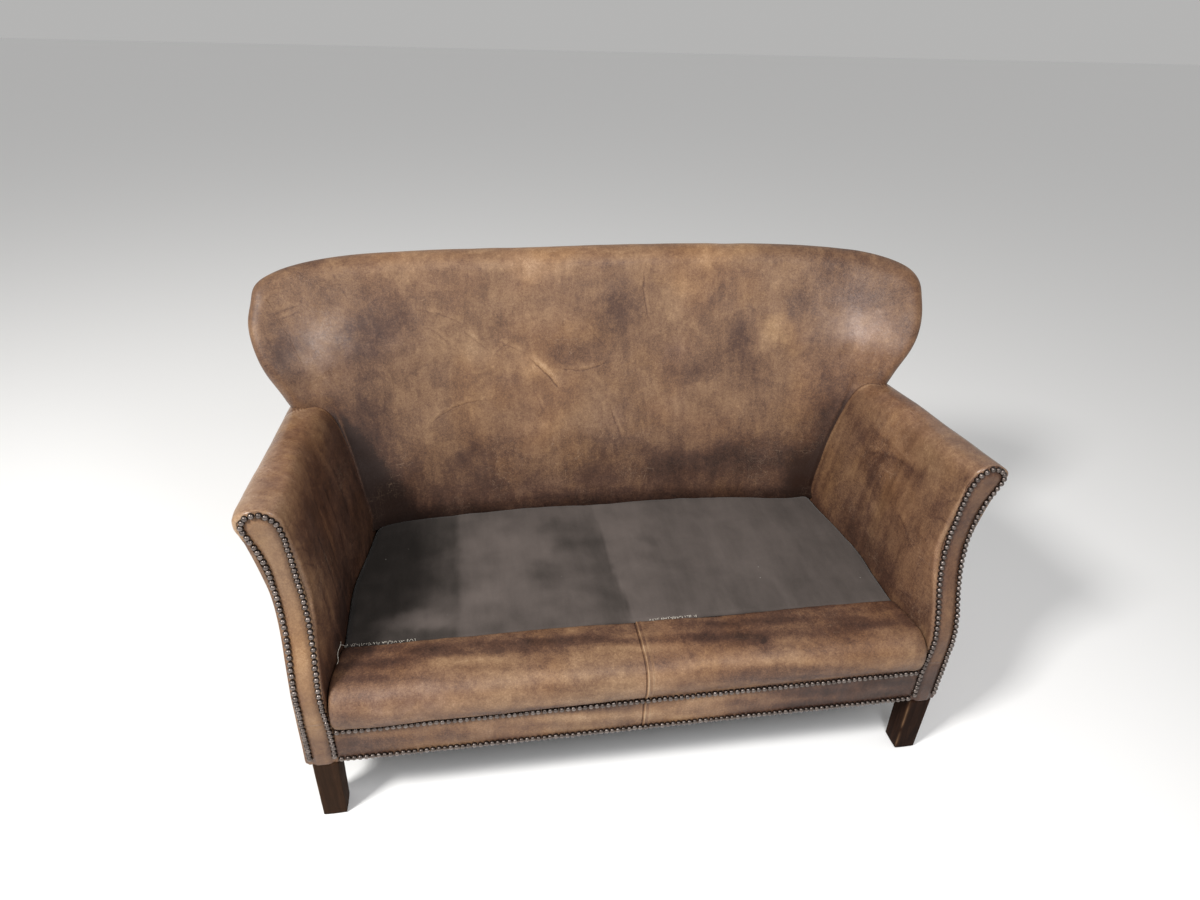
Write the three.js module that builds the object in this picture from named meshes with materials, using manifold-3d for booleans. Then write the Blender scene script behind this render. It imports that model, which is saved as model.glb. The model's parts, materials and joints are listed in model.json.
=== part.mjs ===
// A worn two-seat leather sofa with a wrap-round back, low scrolled arms and square front legs.
// Millimetres, +Z up, +X to the right of someone who faces the sofa, -Y towards the sitter's feet.
// The origin is on the floor, under the middle of the sofa. "left" and "right" are as seen from the front.
// A hardwood frame carries webbing, foam and padded leather covers. Each piece is one closed solid.

import * as THREE from 'three';
import Module from 'manifold-3d';
import { mergeVertices } from 'three/addons/utils/BufferGeometryUtils.js';

// ---- Driving dimensions ----------------------------------------------------------------------------

const FRONT_Y = -370;            // plane of the front band and of the foot of each arm front
const UNDER_Z = 150;             // underside of the upholstery, and the height of the legs
const TOP_Z = 947;               // highest point of the back
const HALF_WIDTH = 742;          // from the middle to the widest point of a wing
const GAP = 0.3;                 // clearance that touching hard pieces keep
const SOFT_GAP = 3;              // clearance between soft pieces whose faces curve

const FACING_THICKNESS = 6;      // padded leather facing on each arm front
const PANEL_THICKNESS = 5;       // outside arm panels, leather over card
const BACK_PANEL_THICKNESS = 6;  // outside back panel
const BACK_PAD_THICKNESS = 47;   // padding in front of the back frame
const WING_RIM = 38;             // padding that rolls round the edge of the wings
const TOP_RIM = 33;              // padding that rolls over the top rail
const WING_FOOT_Z = 622;         // where the wings spread out, just under the tops of the arms

const RAIL_BOTTOM_Z = UNDER_Z + GAP;
const RAIL_TOP_Z = 236;          // top of the seat rails
const RAIL_THICKNESS = 25;
const WEB_THICKNESS = 2.5;       // elastic webbing stretched over the seat rails
const FOAM_BOTTOM_Z = RAIL_TOP_Z + GAP + WEB_THICKNESS + GAP;

const SEAM_Y = -249;             // seam between the front roll and the deck cloth
const DECK_FRONT_Z = 330;        // deck height at that seam
const DECK_RISE = 25;            // how much higher the deck is at the back
const DECK_DEPTH = 406;          // from the seam to the foot of the back, in the middle
const CLOTH_THICKNESS = 3;

const NAIL_RADIUS = 5.5;         // half the width of a row of dome-headed nails
const NAIL_HEIGHT = 4.5;
const UPPER_NAIL_Z = 233;
const LOWER_NAIL_Z = 162;

const LEG_SIZE = 44;
const REAR_LEG_X = 567;
const REAR_LEG_Y = 221;
const REAR_LEG_RAKE = 28;        // how far each rear foot stands behind its leg's top

// ---- Materials -------------------------------------------------------------------------------------

const material = (color, roughness, metalness = 0) =>
  new THREE.MeshStandardMaterial({ color, roughness, metalness });

const leather = material(0x7a5236, 0.5);
const deckCloth = material(0x574f48, 0.95);
const darkWood = material(0x3a261a, 0.45);
const frameWood = material(0xb9925f, 0.8);
const foam = material(0xd8cba4, 0.95);
const webbing = material(0x2b2a28, 0.9);
const undercloth = material(0x1b1b1c, 0.95);
const nailMetal = material(0x4d4036, 0.35, 0.9);

// ---- Shape of the sofa as formulas -----------------------------------------------------------------

const mix = (a, b, t) => a + (b - a) * t;

/** 0 below a, 1 above b, and an S-shaped ramp between them. */
function ramp(a, b, value) {
  const t = Math.min(Math.max((value - a) / (b - a), 0), 1);
  return t * t * (3 - 2 * t);
}

/** How far the front of an arm lies behind the front plane: upright, then swept back, with a lip on top. */
function armSetback(z) {
  const lip = Math.max(0, (z - 575) / 105);
  return 69 * ramp(303, 528, z) - 7 * lip * lip;
}

/** Inner face of an arm: it narrows the seat towards the back, and leans outwards with height. */
function armInnerX(y, z) {
  const back = y - FRONT_Y;
  const atSeat = 588.5 - 18 * ramp(0, 150, back) - 30 * ramp(250, 520, back);
  const height = Math.max(0, (z - 320) / 325);
  return atSeat + (30 + 0.056 * back) * height ** 1.45;
}

/** Outer face of an arm: upright below, flared into a scroll towards the top. */
function armOuterX(y, z) {
  const flare = Math.max(0, (z - 290) / 380);
  return 644 + (52 - 0.028 * (y - FRONT_Y)) * flare * flare;
}

/** Top of an arm, which falls slightly towards the back. */
const armTopZ = (y) => 688 - 0.06 * (y - FRONT_Y);

/** Front face of the back: reclined, and wrapped forwards at the sides. */
function backInnerY(x, z) {
  const wrap = 143 - 65 * ramp(720, 930, z);
  return 157 + 0.228 * (z - 355) - wrap * Math.abs(x / 700) ** 3.3;
}

/** Rear face of the back: nearly upright, drawn in at the top, and wrapped more strongly than the front. */
function backOuterY(x, z) {
  const wrap = 150 + 45 * ramp(UNDER_Z, 650, z) - 110 * ramp(650, 950, z);
  const drawnIn = 20 * ramp(740, 930, z);
  return 330 + 52 * Math.min(1, (z - UNDER_Z) / 570) - drawnIn - wrap * Math.abs(x / 700) ** 3.3;
}

/** Half the width of the back at a height: wings that swell to their widest point, then round off. */
function backHalfWidth(z) {
  if (z < 650) return 676;
  if (z < 845) return 676 + (HALF_WIDTH - 676) * Math.sin((Math.PI / 2) * (z - 650) / 195) ** 1.3;
  return HALF_WIDTH * (1 - Math.min(1, (z - 845) / (TOP_Z - 845)) ** 3.8) ** (1 / 3.8);
}

/** Middle of the space between the padding and the outside back, where the back's frame stands. */
const backFrameY = (x, z) =>
  (backInnerY(x, z) + BACK_PAD_THICKNESS + backOuterY(x, z) - BACK_PANEL_THICKNESS) / 2;

/** Deck height at a depth. */
const deckZ = (y) => DECK_FRONT_Z + DECK_RISE * (y - SEAM_Y) / DECK_DEPTH;

// ---- Solids from outlines --------------------------------------------------------------------------

const point = (x, y, z) => new THREE.Vector3(x, y, z);

/** Triangles that cover one closed outline, turning the same way as the outline does. */
function capTriangles(outline) {
  const normal = point(0, 0, 0);
  outline.forEach((p, i) => normal.add(point(0, 0, 0).crossVectors(p, outline[(i + 1) % outline.length])));
  normal.normalize();
  const side = Math.abs(normal.z) < 0.9 ? point(0, 0, 1) : point(1, 0, 0);
  const u = point(0, 0, 0).crossVectors(side, normal).normalize();
  const v = point(0, 0, 0).crossVectors(normal, u);
  const flat = outline.map((p) => new THREE.Vector2(p.dot(u), p.dot(v)));
  return THREE.ShapeUtils.triangulateShape(flat, []).map(([a, b, c]) => {
    const turn = flat[b].clone().sub(flat[a]).cross(flat[c].clone().sub(flat[a]));
    return turn < 0 ? [a, c, b] : [a, b, c];
  });
}

/** Six times the volume inside an indexed surface: negative if it is inside out. */
function signedVolume(points, index) {
  let sum = 0;
  for (let i = 0; i < index.length; i += 3) {
    const [a, b, c] = [points[index[i]], points[index[i + 1]], points[index[i + 2]]];
    sum += a.dot(point(0, 0, 0).crossVectors(b, c));
  }
  return sum;
}

/** Closed solid through a row of closed outlines with equal point counts, capped at both ends. */
function loft(outlines) {
  const count = outlines[0].length;
  const points = outlines.flat();
  const index = [];
  for (let row = 0; row < outlines.length - 1; row++) {
    for (let i = 0; i < count; i++) {
      const a = row * count + i;
      const b = row * count + ((i + 1) % count);
      index.push(a, b, a + count, b, b + count, a + count);
    }
  }
  const last = points.length - count;
  capTriangles(outlines[0]).forEach(([a, b, c]) => index.push(a, c, b));
  capTriangles(outlines[outlines.length - 1]).forEach(([a, b, c]) => index.push(last + a, last + b, last + c));
  if (signedVolume(points, index) < 0) index.reverse();
  const geometry = new THREE.BufferGeometry().setFromPoints(points);
  return geometry.setIndex(index);
}

const wasm = await Module();
wasm.setup();

/** A manifold-3d solid from a closed geometry. */
function solidOf(geometry) {
  geometry.deleteAttribute('normal');
  geometry.deleteAttribute('uv');
  const merged = mergeVertices(geometry, 1e-4);
  return new wasm.Manifold(new wasm.Mesh({
    numProp: 3,
    vertProperties: merged.attributes.position.array,
    triVerts: new Uint32Array(merged.index.array),
  }));
}

/** A geometry from a manifold-3d solid. */
function geometryOf(solid) {
  const mesh = solid.getMesh();
  return new THREE.BufferGeometry()
    .setAttribute('position', new THREE.BufferAttribute(mesh.vertProperties, 3))
    .setIndex(new THREE.BufferAttribute(mesh.triVerts, 1));
}

/** A straight bar between two corners. */
function bar(x0, x1, y0, y1, z0, z1) {
  const box = new THREE.BoxGeometry(x1 - x0, y1 - y0, z1 - z0);
  return box.translate((x0 + x1) / 2, (y0 + y1) / 2, (z0 + z1) / 2);
}

/** A flat plate with the given outline in plan, from z0 up to a height that may depend on y. */
function plate(outline, z0, thickness, topAt = null) {
  const shape = new THREE.Shape(outline.map(([x, y]) => new THREE.Vector2(x, y)));
  const geometry = new THREE.ExtrudeGeometry(shape, { depth: 1, bevelEnabled: false });
  const position = geometry.attributes.position;
  for (let i = 0; i < position.count; i++) {
    const top = topAt ? topAt(position.getY(i)) : z0 + thickness;
    const bottom = thickness ? top - thickness : z0;
    position.setZ(i, position.getZ(i) > 0.5 ? top : bottom);
  }
  return geometry;
}

const group = new THREE.Group();

function add(name, geometry, finish) {
  const mesh = new THREE.Mesh(geometry, finish);
  mesh.name = name;
  group.add(mesh);
}

const SIDES = [['left', -1], ['right', 1]];

// ---- Legs ------------------------------------------------------------------------------------------

/** A square leg whose foot and top are given as their centres and sizes. */
function leg(side, topX, topY, footX, footY, footSize) {
  const square = (x, y, z, size) => [[-1, -1], [1, -1], [1, 1], [-1, 1]].map(
    ([i, j]) => point(side * x + i * size / 2, y + j * size / 2, z));
  return loft([square(footX, footY, 0, footSize), square(topX, topY, UNDER_Z, LEG_SIZE)]);
}

for (const [name, side] of SIDES) {
  const frontY = FRONT_Y + LEG_SIZE / 2;
  add(`leg_front_${name}`, leg(side, 611, frontY, 609, frontY, LEG_SIZE - 3), darkWood);
  const footY = REAR_LEG_Y + REAR_LEG_RAKE;
  add(`leg_back_${name}`, leg(side, REAR_LEG_X, REAR_LEG_Y, REAR_LEG_X, footY, LEG_SIZE - 8), darkWood);
}

// ---- Seat frame ------------------------------------------------------------------------------------

const FRONT_RAIL_Y = FRONT_Y + FACING_THICKNESS + 1;      // front face of the front rail
const SIDE_RAIL_Y = FRONT_RAIL_Y + RAIL_THICKNESS + GAP;  // front end of each side rail
const BACK_RAIL_Y = 200;                                  // front face of the back rail
const SIDE_RAIL_X = 606;                                  // inner face of each side rail

add('front_seat_rail', bar(-SIDE_RAIL_X - 25, SIDE_RAIL_X + 25, FRONT_RAIL_Y, SIDE_RAIL_Y - GAP,
  RAIL_BOTTOM_Z, RAIL_TOP_Z), frameWood);
add('back_seat_rail', bar(-SIDE_RAIL_X + GAP, SIDE_RAIL_X - GAP, BACK_RAIL_Y, BACK_RAIL_Y + RAIL_THICKNESS,
  RAIL_BOTTOM_Z, RAIL_TOP_Z), frameWood);
add('centre_seat_rail', bar(-14, 14, SIDE_RAIL_Y, BACK_RAIL_Y - GAP, RAIL_BOTTOM_Z + 10, RAIL_TOP_Z - 12),
  frameWood);

/** A triangular glue block in a corner of the seat frame, with its arms along x and y. */
function cornerBlock(x, y, intoX, intoY) {
  const reach = 62;
  const corner = [[x, y], [x + intoX * reach, y], [x, y + intoY * reach]];
  return plate(intoX * intoY > 0 ? corner : corner.reverse(), 172, 55);
}

for (const [name, side] of SIDES) {
  add(`side_seat_rail_${name}`, bar(Math.min(side * SIDE_RAIL_X, side * (SIDE_RAIL_X + 25)),
    Math.max(side * SIDE_RAIL_X, side * (SIDE_RAIL_X + 25)), SIDE_RAIL_Y, BACK_RAIL_Y + 4,
    RAIL_BOTTOM_Z, RAIL_TOP_Z), frameWood);
  const blockX = side * (SIDE_RAIL_X - GAP);
  add(`corner_block_front_${name}`, cornerBlock(blockX, SIDE_RAIL_Y, -side, 1), frameWood);
  add(`corner_block_back_${name}`, cornerBlock(blockX, BACK_RAIL_Y - GAP, -side, -1), frameWood);
}

const WEB_WIDTH = 70;
const WEB_ACROSS = [-490, -295, -100, 100, 295, 490];
WEB_ACROSS.forEach((x, i) => add(`seat_web_${i + 1}`, bar(x - WEB_WIDTH / 2, x + WEB_WIDTH / 2,
  FRONT_RAIL_Y + 4, BACK_RAIL_Y + 21, RAIL_TOP_Z + GAP, RAIL_TOP_Z + GAP + WEB_THICKNESS), webbing));

// ---- Arm frames ------------------------------------------------------------------------------------

const ARM_PAD = 20;              // padding on the inner face of an arm
const POST_DEPTH = 42;
const ARM_RAIL_HEIGHT = 38;
const STAND_Z = RAIL_TOP_Z + GAP;  // posts stand on the seat rails

const coreInnerX = (y, z) => Math.max(SIDE_RAIL_X, armInnerX(y, z) + ARM_PAD);
const coreOuterX = (y, z) => armOuterX(y, z) - PANEL_THICKNESS - 4;

/** An upright board inside the arm, with its front edge a steady distance behind the facing. */
function armPost(side) {
  return loft([STAND_Z, 320, 400, 460, 520, 588].map((z) => {
    const y = FRONT_Y + armSetback(z) + FACING_THICKNESS + 4;
    const [inner, outer] = [coreInnerX(y, z) + 2, coreOuterX(y, z)];
    return [point(side * inner, y, z), point(side * outer, y, z),
      point(side * outer, y + POST_DEPTH, z), point(side * inner, y + POST_DEPTH, z)];
  }));
}

/** The rail under the padding on top of an arm, from the front post to the back post. */
function armTopRail(side) {
  return loft([-285, -190, -95, 0, 95].map((y) => {
    const top = armTopZ(y) - 52;
    const [inner, outer] = [coreInnerX(y, top) + 6, coreOuterX(y, top - ARM_RAIL_HEIGHT)];
    return [point(side * inner, y, top - ARM_RAIL_HEIGHT), point(side * outer, y, top - ARM_RAIL_HEIGHT),
      point(side * outer, y, top), point(side * inner, y, top)];
  }));
}

/** The post at the back corner, leaning with the back. */
function backPost(side) {
  return loft([STAND_Z, 320, 470, WING_FOOT_Z - 6].map((z) => {
    const y = backFrameY(620, z);
    return [point(side * 607, y - 19, z), point(side * 631, y - 19, z),
      point(side * 631, y + 19, z), point(side * 607, y + 19, z)];
  }));
}

/** The board inside a wing, standing on the back post. */
function wingBoard(side) {
  return loft([WING_FOOT_Z - 5, 700, 760, 820, 855, 880].map((z) => {
    const outer = Math.min(backHalfWidth(z), 640 + (z - 600) * 0.6) - WING_RIM - 18;
    const edge = (x, shift) => point(side * x, backFrameY(x, z) + shift, z);
    return [edge(567, -9), edge(outer, -9), edge(outer, 9), edge(567, 9)];
  }));
}

for (const [name, side] of SIDES) {
  add(`arm_post_${name}`, armPost(side), frameWood);
  add(`arm_top_rail_${name}`, armTopRail(side), frameWood);
  add(`back_post_${name}`, backPost(side), frameWood);
  add(`wing_board_${name}`, wingBoard(side), frameWood);
}

// ---- Back frame ------------------------------------------------------------------------------------

/** A rail sawn to the curve of the back, between two heights and two ends. */
function curvedRail(z0, z1, reach, depth) {
  const steps = 12;
  return loft(Array.from({ length: steps + 1 }, (_, i) => {
    const x = mix(-reach, reach, i / steps);
    const y = backFrameY(x, (z0 + z1) / 2);
    return [point(x, y - depth / 2, z0), point(x, y + depth / 2, z0),
      point(x, y + depth / 2, z1), point(x, y - depth / 2, z1)];
  }));
}

const LOWER_RAIL_TOP = 318;
const UPPER_RAIL_BOTTOM = 864;
add('back_lower_rail', curvedRail(262, LOWER_RAIL_TOP, 603, 24), frameWood);
add('back_top_rail', curvedRail(UPPER_RAIL_BOTTOM, 900, 564, 12), frameWood);

/** A stud between the two curved rails. */
function upright(x) {
  return loft([LOWER_RAIL_TOP + GAP, UPPER_RAIL_BOTTOM - GAP].map((z) => {
    const y = backFrameY(x, z);
    return [point(x - 14, y - 11, z), point(x + 14, y - 11, z), point(x + 14, y + 11, z), point(x - 14, y + 11, z)];
  }));
}

/** A strap of webbing behind the back's padding, between the two curved rails. */
function backWeb(x) {
  return loft([275, UPPER_RAIL_BOTTOM - 2].map((z) => {
    const y = backInnerY(Math.abs(x) - WEB_WIDTH / 2, z) + BACK_PAD_THICKNESS + SOFT_GAP;
    return [point(x - WEB_WIDTH / 2, y, z), point(x + WEB_WIDTH / 2, y, z),
      point(x + WEB_WIDTH / 2, y + WEB_THICKNESS, z), point(x - WEB_WIDTH / 2, y + WEB_THICKNESS, z)];
  }));
}

[['left', -215], ['right', 215]].forEach(([name, x]) => add(`back_upright_${name}`, upright(x), frameWood));
[-330, -110, 110, 330].forEach((x, i) => add(`back_web_${i + 1}`, backWeb(x), webbing));

// ---- Seat ------------------------------------------------------------------------------------------

/** Plan outline of the deck: straight front seam, sides along the arms, back along the foot of the back. */
function deckOutline() {
  const sideYs = [SEAM_Y, -220, -150, -110, -60, -20, 15, 50, 85];
  const rightSide = sideYs.map((y) => [armInnerX(y, DECK_FRONT_Z) - SOFT_GAP, y]);
  const rearXs = [520, 430, 320, 180, 0, -180, -320, -430, -520];
  const rear = rearXs.map((x) => [x, backInnerY(x, 345) - SOFT_GAP]);
  const leftSide = [...rightSide].reverse().map(([x, y]) => [-x, y]);
  return [...rightSide, ...rear, ...leftSide];
}

const deck = deckOutline();
add('seat_foam', plate(deck, FOAM_BOTTOM_Z, 0, (y) => deckZ(y) - CLOTH_THICKNESS - GAP), foam);
add('deck_cloth', plate(deck, 0, CLOTH_THICKNESS, deckZ), deckCloth);

/** The padded roll along the front edge: a rounded nose, and a nearly flat top back to the deck seam. */
function seatRoll() {
  const foot = FOAM_BOTTOM_Z + GAP;
  const profile = [[FRONT_Y + 1, foot], [FRONT_Y - 8, 256], [FRONT_Y - 12, 275], [FRONT_Y - 10, 295],
    [FRONT_Y - 2, 311], [FRONT_Y + 13, 321], [FRONT_Y + 40, 327], [SEAM_Y - GAP, DECK_FRONT_Z],
    [SEAM_Y - GAP, foot]];
  return loft([-1, 1].map((side) => profile.map(([y, z]) => point(side * (armInnerX(y, z) - SOFT_GAP), y, z))));
}

add('seat_roll', seatRoll(), leather);
const BAND_HALF = 586.5;
add('front_band', bar(-BAND_HALF, BAND_HALF, FRONT_Y, FRONT_Y + FACING_THICKNESS, RAIL_BOTTOM_Z, 238.5), leather);

// ---- Arms ------------------------------------------------------------------------------------------

const ARM_COVER_FOOT_Z = 240;
const SCROLL_DROP = 36;          // the inside cover wraps over the scroll and ends this far below its top

// The facing, the covers behind it and its row of nails share these heights, so they lie flat together.
const FACING_ZS = [RAIL_BOTTOM_Z, 303, 340, 375, 410, 445, 480, 528, 575, 610, 645, 662, 674, 682, 687];

/** Front face of a facing at any height, made of straight stretches between FACING_ZS. */
function facingY(z) {
  const above = Math.max(1, FACING_ZS.findIndex((edge) => edge >= z));
  const [low, high] = [FACING_ZS[above - 1], FACING_ZS[above]];
  const t = (z - low) / (high - low);
  return FRONT_Y + mix(armSetback(low), armSetback(high), t);
}

/** Where the covers are begun at a height: inside the facing, which is then cut away from them. */
const coverY = (z) => facingY(Math.max(z, RAIL_BOTTOM_Z)) - 12;

/** A point on an inside cover: v runs from 0 at the facing to 1 where the arm meets the back. */
function armPoint(side, xAt, z, v) {
  const front = coverY(z);
  const along = (x) => mix(front, backInnerY(x, z) - SOFT_GAP, v);
  const x = xAt(along(xAt(mix(front, 120, v))));
  return point(side * x, along(x), z);
}

/** Hook-shaped section of an inside arm: inner face, rounded top and scroll, then back along the frame. */
function insideArmOutline(side, v) {
  const top = armTopZ(mix(-300, 120, v));
  const outline = [];
  const place = (z, xAt) => outline.push(armPoint(side, xAt, z, v));
  const faceZs = [ARM_COVER_FOOT_Z, ...FACING_ZS.slice(1, 9), top - 60];
  const inner = (y) => armInnerX(y, top - 26);
  const outer = (y) => armOuterX(y, 670);
  for (const z of faceZs) place(z, (y) => armInnerX(y, z));
  place(top - 26, inner);
  place(top - 10, (y) => inner(y) + 8);
  place(top - 2, (y) => inner(y) + 20);
  place(top, (y) => mix(inner(y), outer(y), 0.55));
  place(top - 3, (y) => outer(y) - 15);
  place(top - 10, (y) => outer(y) - 3);
  place(top - 20, outer);
  place(top - SCROLL_DROP, (y) => armOuterX(y, top - SCROLL_DROP));
  place(top - SCROLL_DROP, (y) => armOuterX(y, top - SCROLL_DROP) - PANEL_THICKNESS);
  place(top - 47, (y) => coreOuterX(y, top - 47));
  for (const z of [top - 47, ...faceZs.slice(0, 9).reverse()]) place(z, (y) => coreInnerX(y, z));
  return outline;
}

/** Outside arm panel: from the facing round to the rear corner, and up to the edge of the scroll. */
function outsideArm(side) {
  return loft([0, 0.15, 0.3, 0.5, 0.7, 0.85, 1].map((v) => {
    const place = (z, inset) => {
      const x = armOuterX(mix(coverY(z), 200, v), z) - inset;
      return point(side * x, mix(coverY(z), backOuterY(x, z) - 1, v), z);
    };
    const edge = armTopZ(Math.min(120, mix(-300, 200, v))) - SCROLL_DROP - SOFT_GAP;
    const rows = [...FACING_ZS.slice(0, 10), edge];
    const outer = rows.map((z) => place(z, 0));
    const inner = [...rows].reverse().map((z) => place(z, PANEL_THICKNESS));
    return [...outer, ...inner];
  }));
}

/** How far the rounded top has pulled in a side edge of the facing at a height. */
function topRounding(z, start, radius) {
  const t = Math.min(1, Math.max(0, (z - start) / (688 - start)));
  return radius * (1 - Math.sqrt(1 - t * t));
}

function facing(side) {
  return loft(FACING_ZS.map((z) => {
    const y = facingY(z);
    const inner = armInnerX(FRONT_Y, Math.min(z, 655)) - 0.5 + topRounding(z, 640, 34);
    const outer = armOuterX(FRONT_Y, Math.min(z, 668)) - topRounding(z, 664, 26);
    return [point(side * inner, y, z), point(side * outer, y, z),
      point(side * outer, y + FACING_THICKNESS, z), point(side * inner, y + FACING_THICKNESS, z)];
  }));
}

/** Everything in front of the back of the facings, which is cut away from the covers. */
function facingSpace() {
  return loft([100, ...FACING_ZS, 700].map((z) => {
    const y = facingY(Math.min(Math.max(z, RAIL_BOTTOM_Z), 687)) + FACING_THICKNESS + GAP;
    return [point(-800, -500, z), point(800, -500, z), point(800, y, z), point(-800, y, z)];
  }));
}

const ARM_STATIONS = [0, 0.08, 0.16, 0.24, 0.32, 0.42, 0.52, 0.62, 0.72, 0.82, 0.92, 1];
const inFront = solidOf(facingSpace());
for (const [name, side] of SIDES) {
  const inside = solidOf(loft(ARM_STATIONS.map((v) => insideArmOutline(side, v))));
  add(`inside_arm_${name}`, geometryOf(inside.subtract(inFront)), leather);
  add(`outside_arm_${name}`, geometryOf(solidOf(outsideArm(side)).subtract(inFront)), leather);
  add(`arm_facing_${name}`, facing(side), leather);
}

// ---- Back ------------------------------------------------------------------------------------------

const ACROSS = [0, 0.28, 0.5, 0.66, 0.79, 0.88, 0.95];

/** Horizontal section of the back between two faces, closed by rounded ends when round is above 0. */
function backSection(z, halfWidth, frontAt, rearAt, round) {
  const across = round ? [...ACROSS, 0.985, 1] : [...ACROSS, 1];
  const shrink = (t) => (round && t > 1 - round ? Math.sqrt(1 - ((t - 1 + round) / round) ** 2) : 1);
  const ends = [...across].reverse().map((t) => -t).concat(across.slice(1));
  const face = (side, t) => {
    const x = t * halfWidth;
    const middle = (frontAt(x, z) + rearAt(x, z)) / 2;
    const half = (rearAt(x, z) - frontAt(x, z)) / 2;
    return point(x, middle + side * Math.max(half * shrink(Math.abs(t)), 0.4), z);
  };
  return [...ends.map((t) => face(-1, t)), ...ends.reverse().map((t) => face(1, t))];
}

/** Rounded top edge: both faces close on each other over the last stretch below TOP_Z. */
function rolledFaces(z) {
  const t = Math.max(0, (z - (TOP_Z - 40)) / 40);
  const keep = Math.sqrt(Math.max(0.02, 1 - t * t));
  const middle = (x) => (backInnerY(x, z) + backOuterY(x, z)) / 2;
  const half = (x) => (backOuterY(x, z) - backInnerY(x, z)) / 2;
  return [(x) => middle(x) - half(x) * keep, (x) => middle(x) + half(x) * keep];
}

const SLAB_HALF = 600;
const SPACE_ZS = [660, 700, 750, 800, 850, 885, 903];
const BACK_FOOT_Z = 345;
const WING_ZS = [WING_FOOT_Z, 660, 700, 750, 800, 850, 885, 910, 927, 939, TOP_Z - 1];

/** Outer shape of the inside back with its wings, before the space for the frame is taken out. */
function backShape() {
  const slab = [BACK_FOOT_Z, 450, 550, WING_FOOT_Z - 5].map((z) =>
    backSection(z, SLAB_HALF, backInnerY, backOuterY, 0.01));
  const wings = WING_ZS.map((z) => backSection(z, backHalfWidth(z), ...rolledFaces(z), 0.06));
  return loft([...slab, ...wings]);
}

/** Space for the frame behind the padding, open to the rear and below. */
function frameSpace() {
  const frontAt = (x, z) => backInnerY(x, z) + BACK_PAD_THICKNESS;
  const rearAt = () => 500;
  const low = [BACK_FOOT_Z - 40, WING_FOOT_Z - 2.5].map((z) => backSection(z, 690, frontAt, rearAt, 0));
  const high = [WING_FOOT_Z - 2, ...SPACE_ZS, TOP_Z - TOP_RIM].map((z) =>
    backSection(z, backHalfWidth(z) - WING_RIM, frontAt, rearAt, 0));
  return loft([...low, ...high]);
}

add('inside_back', geometryOf(solidOf(backShape()).subtract(solidOf(frameSpace()))), leather);

/** The outside back: one curved panel from the underside to just inside the rolled edge. */
function outsideBack() {
  const frontAt = (x, z) => backOuterY(x, z) - BACK_PANEL_THICKNESS;
  const low = [RAIL_BOTTOM_Z, 290, 400, 500, 560, WING_FOOT_Z - 2.5].map((z) =>
    backSection(z, armOuterX(200, z) - PANEL_THICKNESS - 2, frontAt, backOuterY, 0));
  const high = [WING_FOOT_Z - 1.5, ...SPACE_ZS, TOP_Z - TOP_RIM - 1].map((z) =>
    backSection(z, backHalfWidth(z) - WING_RIM - 1, frontAt, backOuterY, 0));
  return loft([...low, ...high]);
}

add('outside_back', outsideBack(), leather);

// ---- Undercloth ------------------------------------------------------------------------------------

/** Thin cloth tacked under the frame: its rear follows the outside back, and it is cut round the four legs. */
function dustCover() {
  const front = FRONT_Y + 8;
  const side = 626;
  const [notchX, notchY] = [585, FRONT_Y + LEG_SIZE + 3];
  const [insideX, outsideX, rearNotchY] = [REAR_LEG_X - 28, REAR_LEG_X + 28, REAR_LEG_Y - 28];
  const atRear = (x) => [x, backOuterY(x, UNDER_Z) - 9];
  const right = [[notchX, front], [notchX, notchY], [side, notchY], atRear(side), atRear(outsideX),
    [outsideX, rearNotchY], [insideX, rearNotchY], ...[insideX, 460, 380, 280, 150].map(atRear)];
  const left = [...right].reverse().map(([x, y]) => [-x, y]);
  return plate([...right, atRear(0), ...left], UNDER_Z - 2, 2 - GAP);
}

add('dust_cover', dustCover(), undercloth);

// ---- Rows of nails ---------------------------------------------------------------------------------

const DOME = [0, 45, 90, 135, 180].map((degrees) => THREE.MathUtils.degToRad(degrees));

/** Half-round strip across the front of the seat, which holds a row of touching nail heads. */
function straightNails(z) {
  return loft([-1, 1].map((side) => DOME.map((angle) => point(side * (BAND_HALF - 4),
    FRONT_Y - GAP - NAIL_HEIGHT * Math.sin(angle), z + NAIL_RADIUS * Math.cos(angle)))));
}

add('front_nails_upper', straightNails(UPPER_NAIL_Z - 1), nailMetal);
add('front_nails_lower', straightNails(LOWER_NAIL_Z), nailMetal);

/** Line of an arm's nails in front view: up the inner edge, over the scroll and down the outer edge. */
function armNailLine() {
  const rising = FACING_ZS.slice(1, 11).map((z) => [armInnerX(FRONT_Y, z) + 5.5, z]);
  const over = [[631, 665], [641, 674], [652, 678.5], [664, 679.5], [675, 676], [683, 668], [687, 657]];
  const falling = FACING_ZS.slice(1, 10).reverse().map((z) => [armOuterX(FRONT_Y, z) - 7.5, z]);
  return [[594, 158], ...rising, ...over, ...falling, [632.5, 158]];
}

/** Half-round strip that follows the arm's nail line on the curved facing. */
function armNails(side) {
  const line = armNailLine();
  return loft(line.map(([x, z], i) => {
    const [beforeX, beforeZ] = line[Math.max(0, i - 1)];
    const [afterX, afterZ] = line[Math.min(line.length - 1, i + 1)];
    const run = Math.hypot(afterX - beforeX, afterZ - beforeZ);
    const [acrossX, acrossZ] = [(afterZ - beforeZ) / run, -(afterX - beforeX) / run];
    return DOME.map((angle) => {
      const shift = NAIL_RADIUS * Math.cos(angle);
      const height = z + shift * acrossZ;
      return point(side * (x + shift * acrossX), facingY(height) - GAP - NAIL_HEIGHT * Math.sin(angle), height);
    });
  }));
}

for (const [name, side] of SIDES) add(`arm_nails_${name}`, armNails(side), nailMetal);

export default group;
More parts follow.
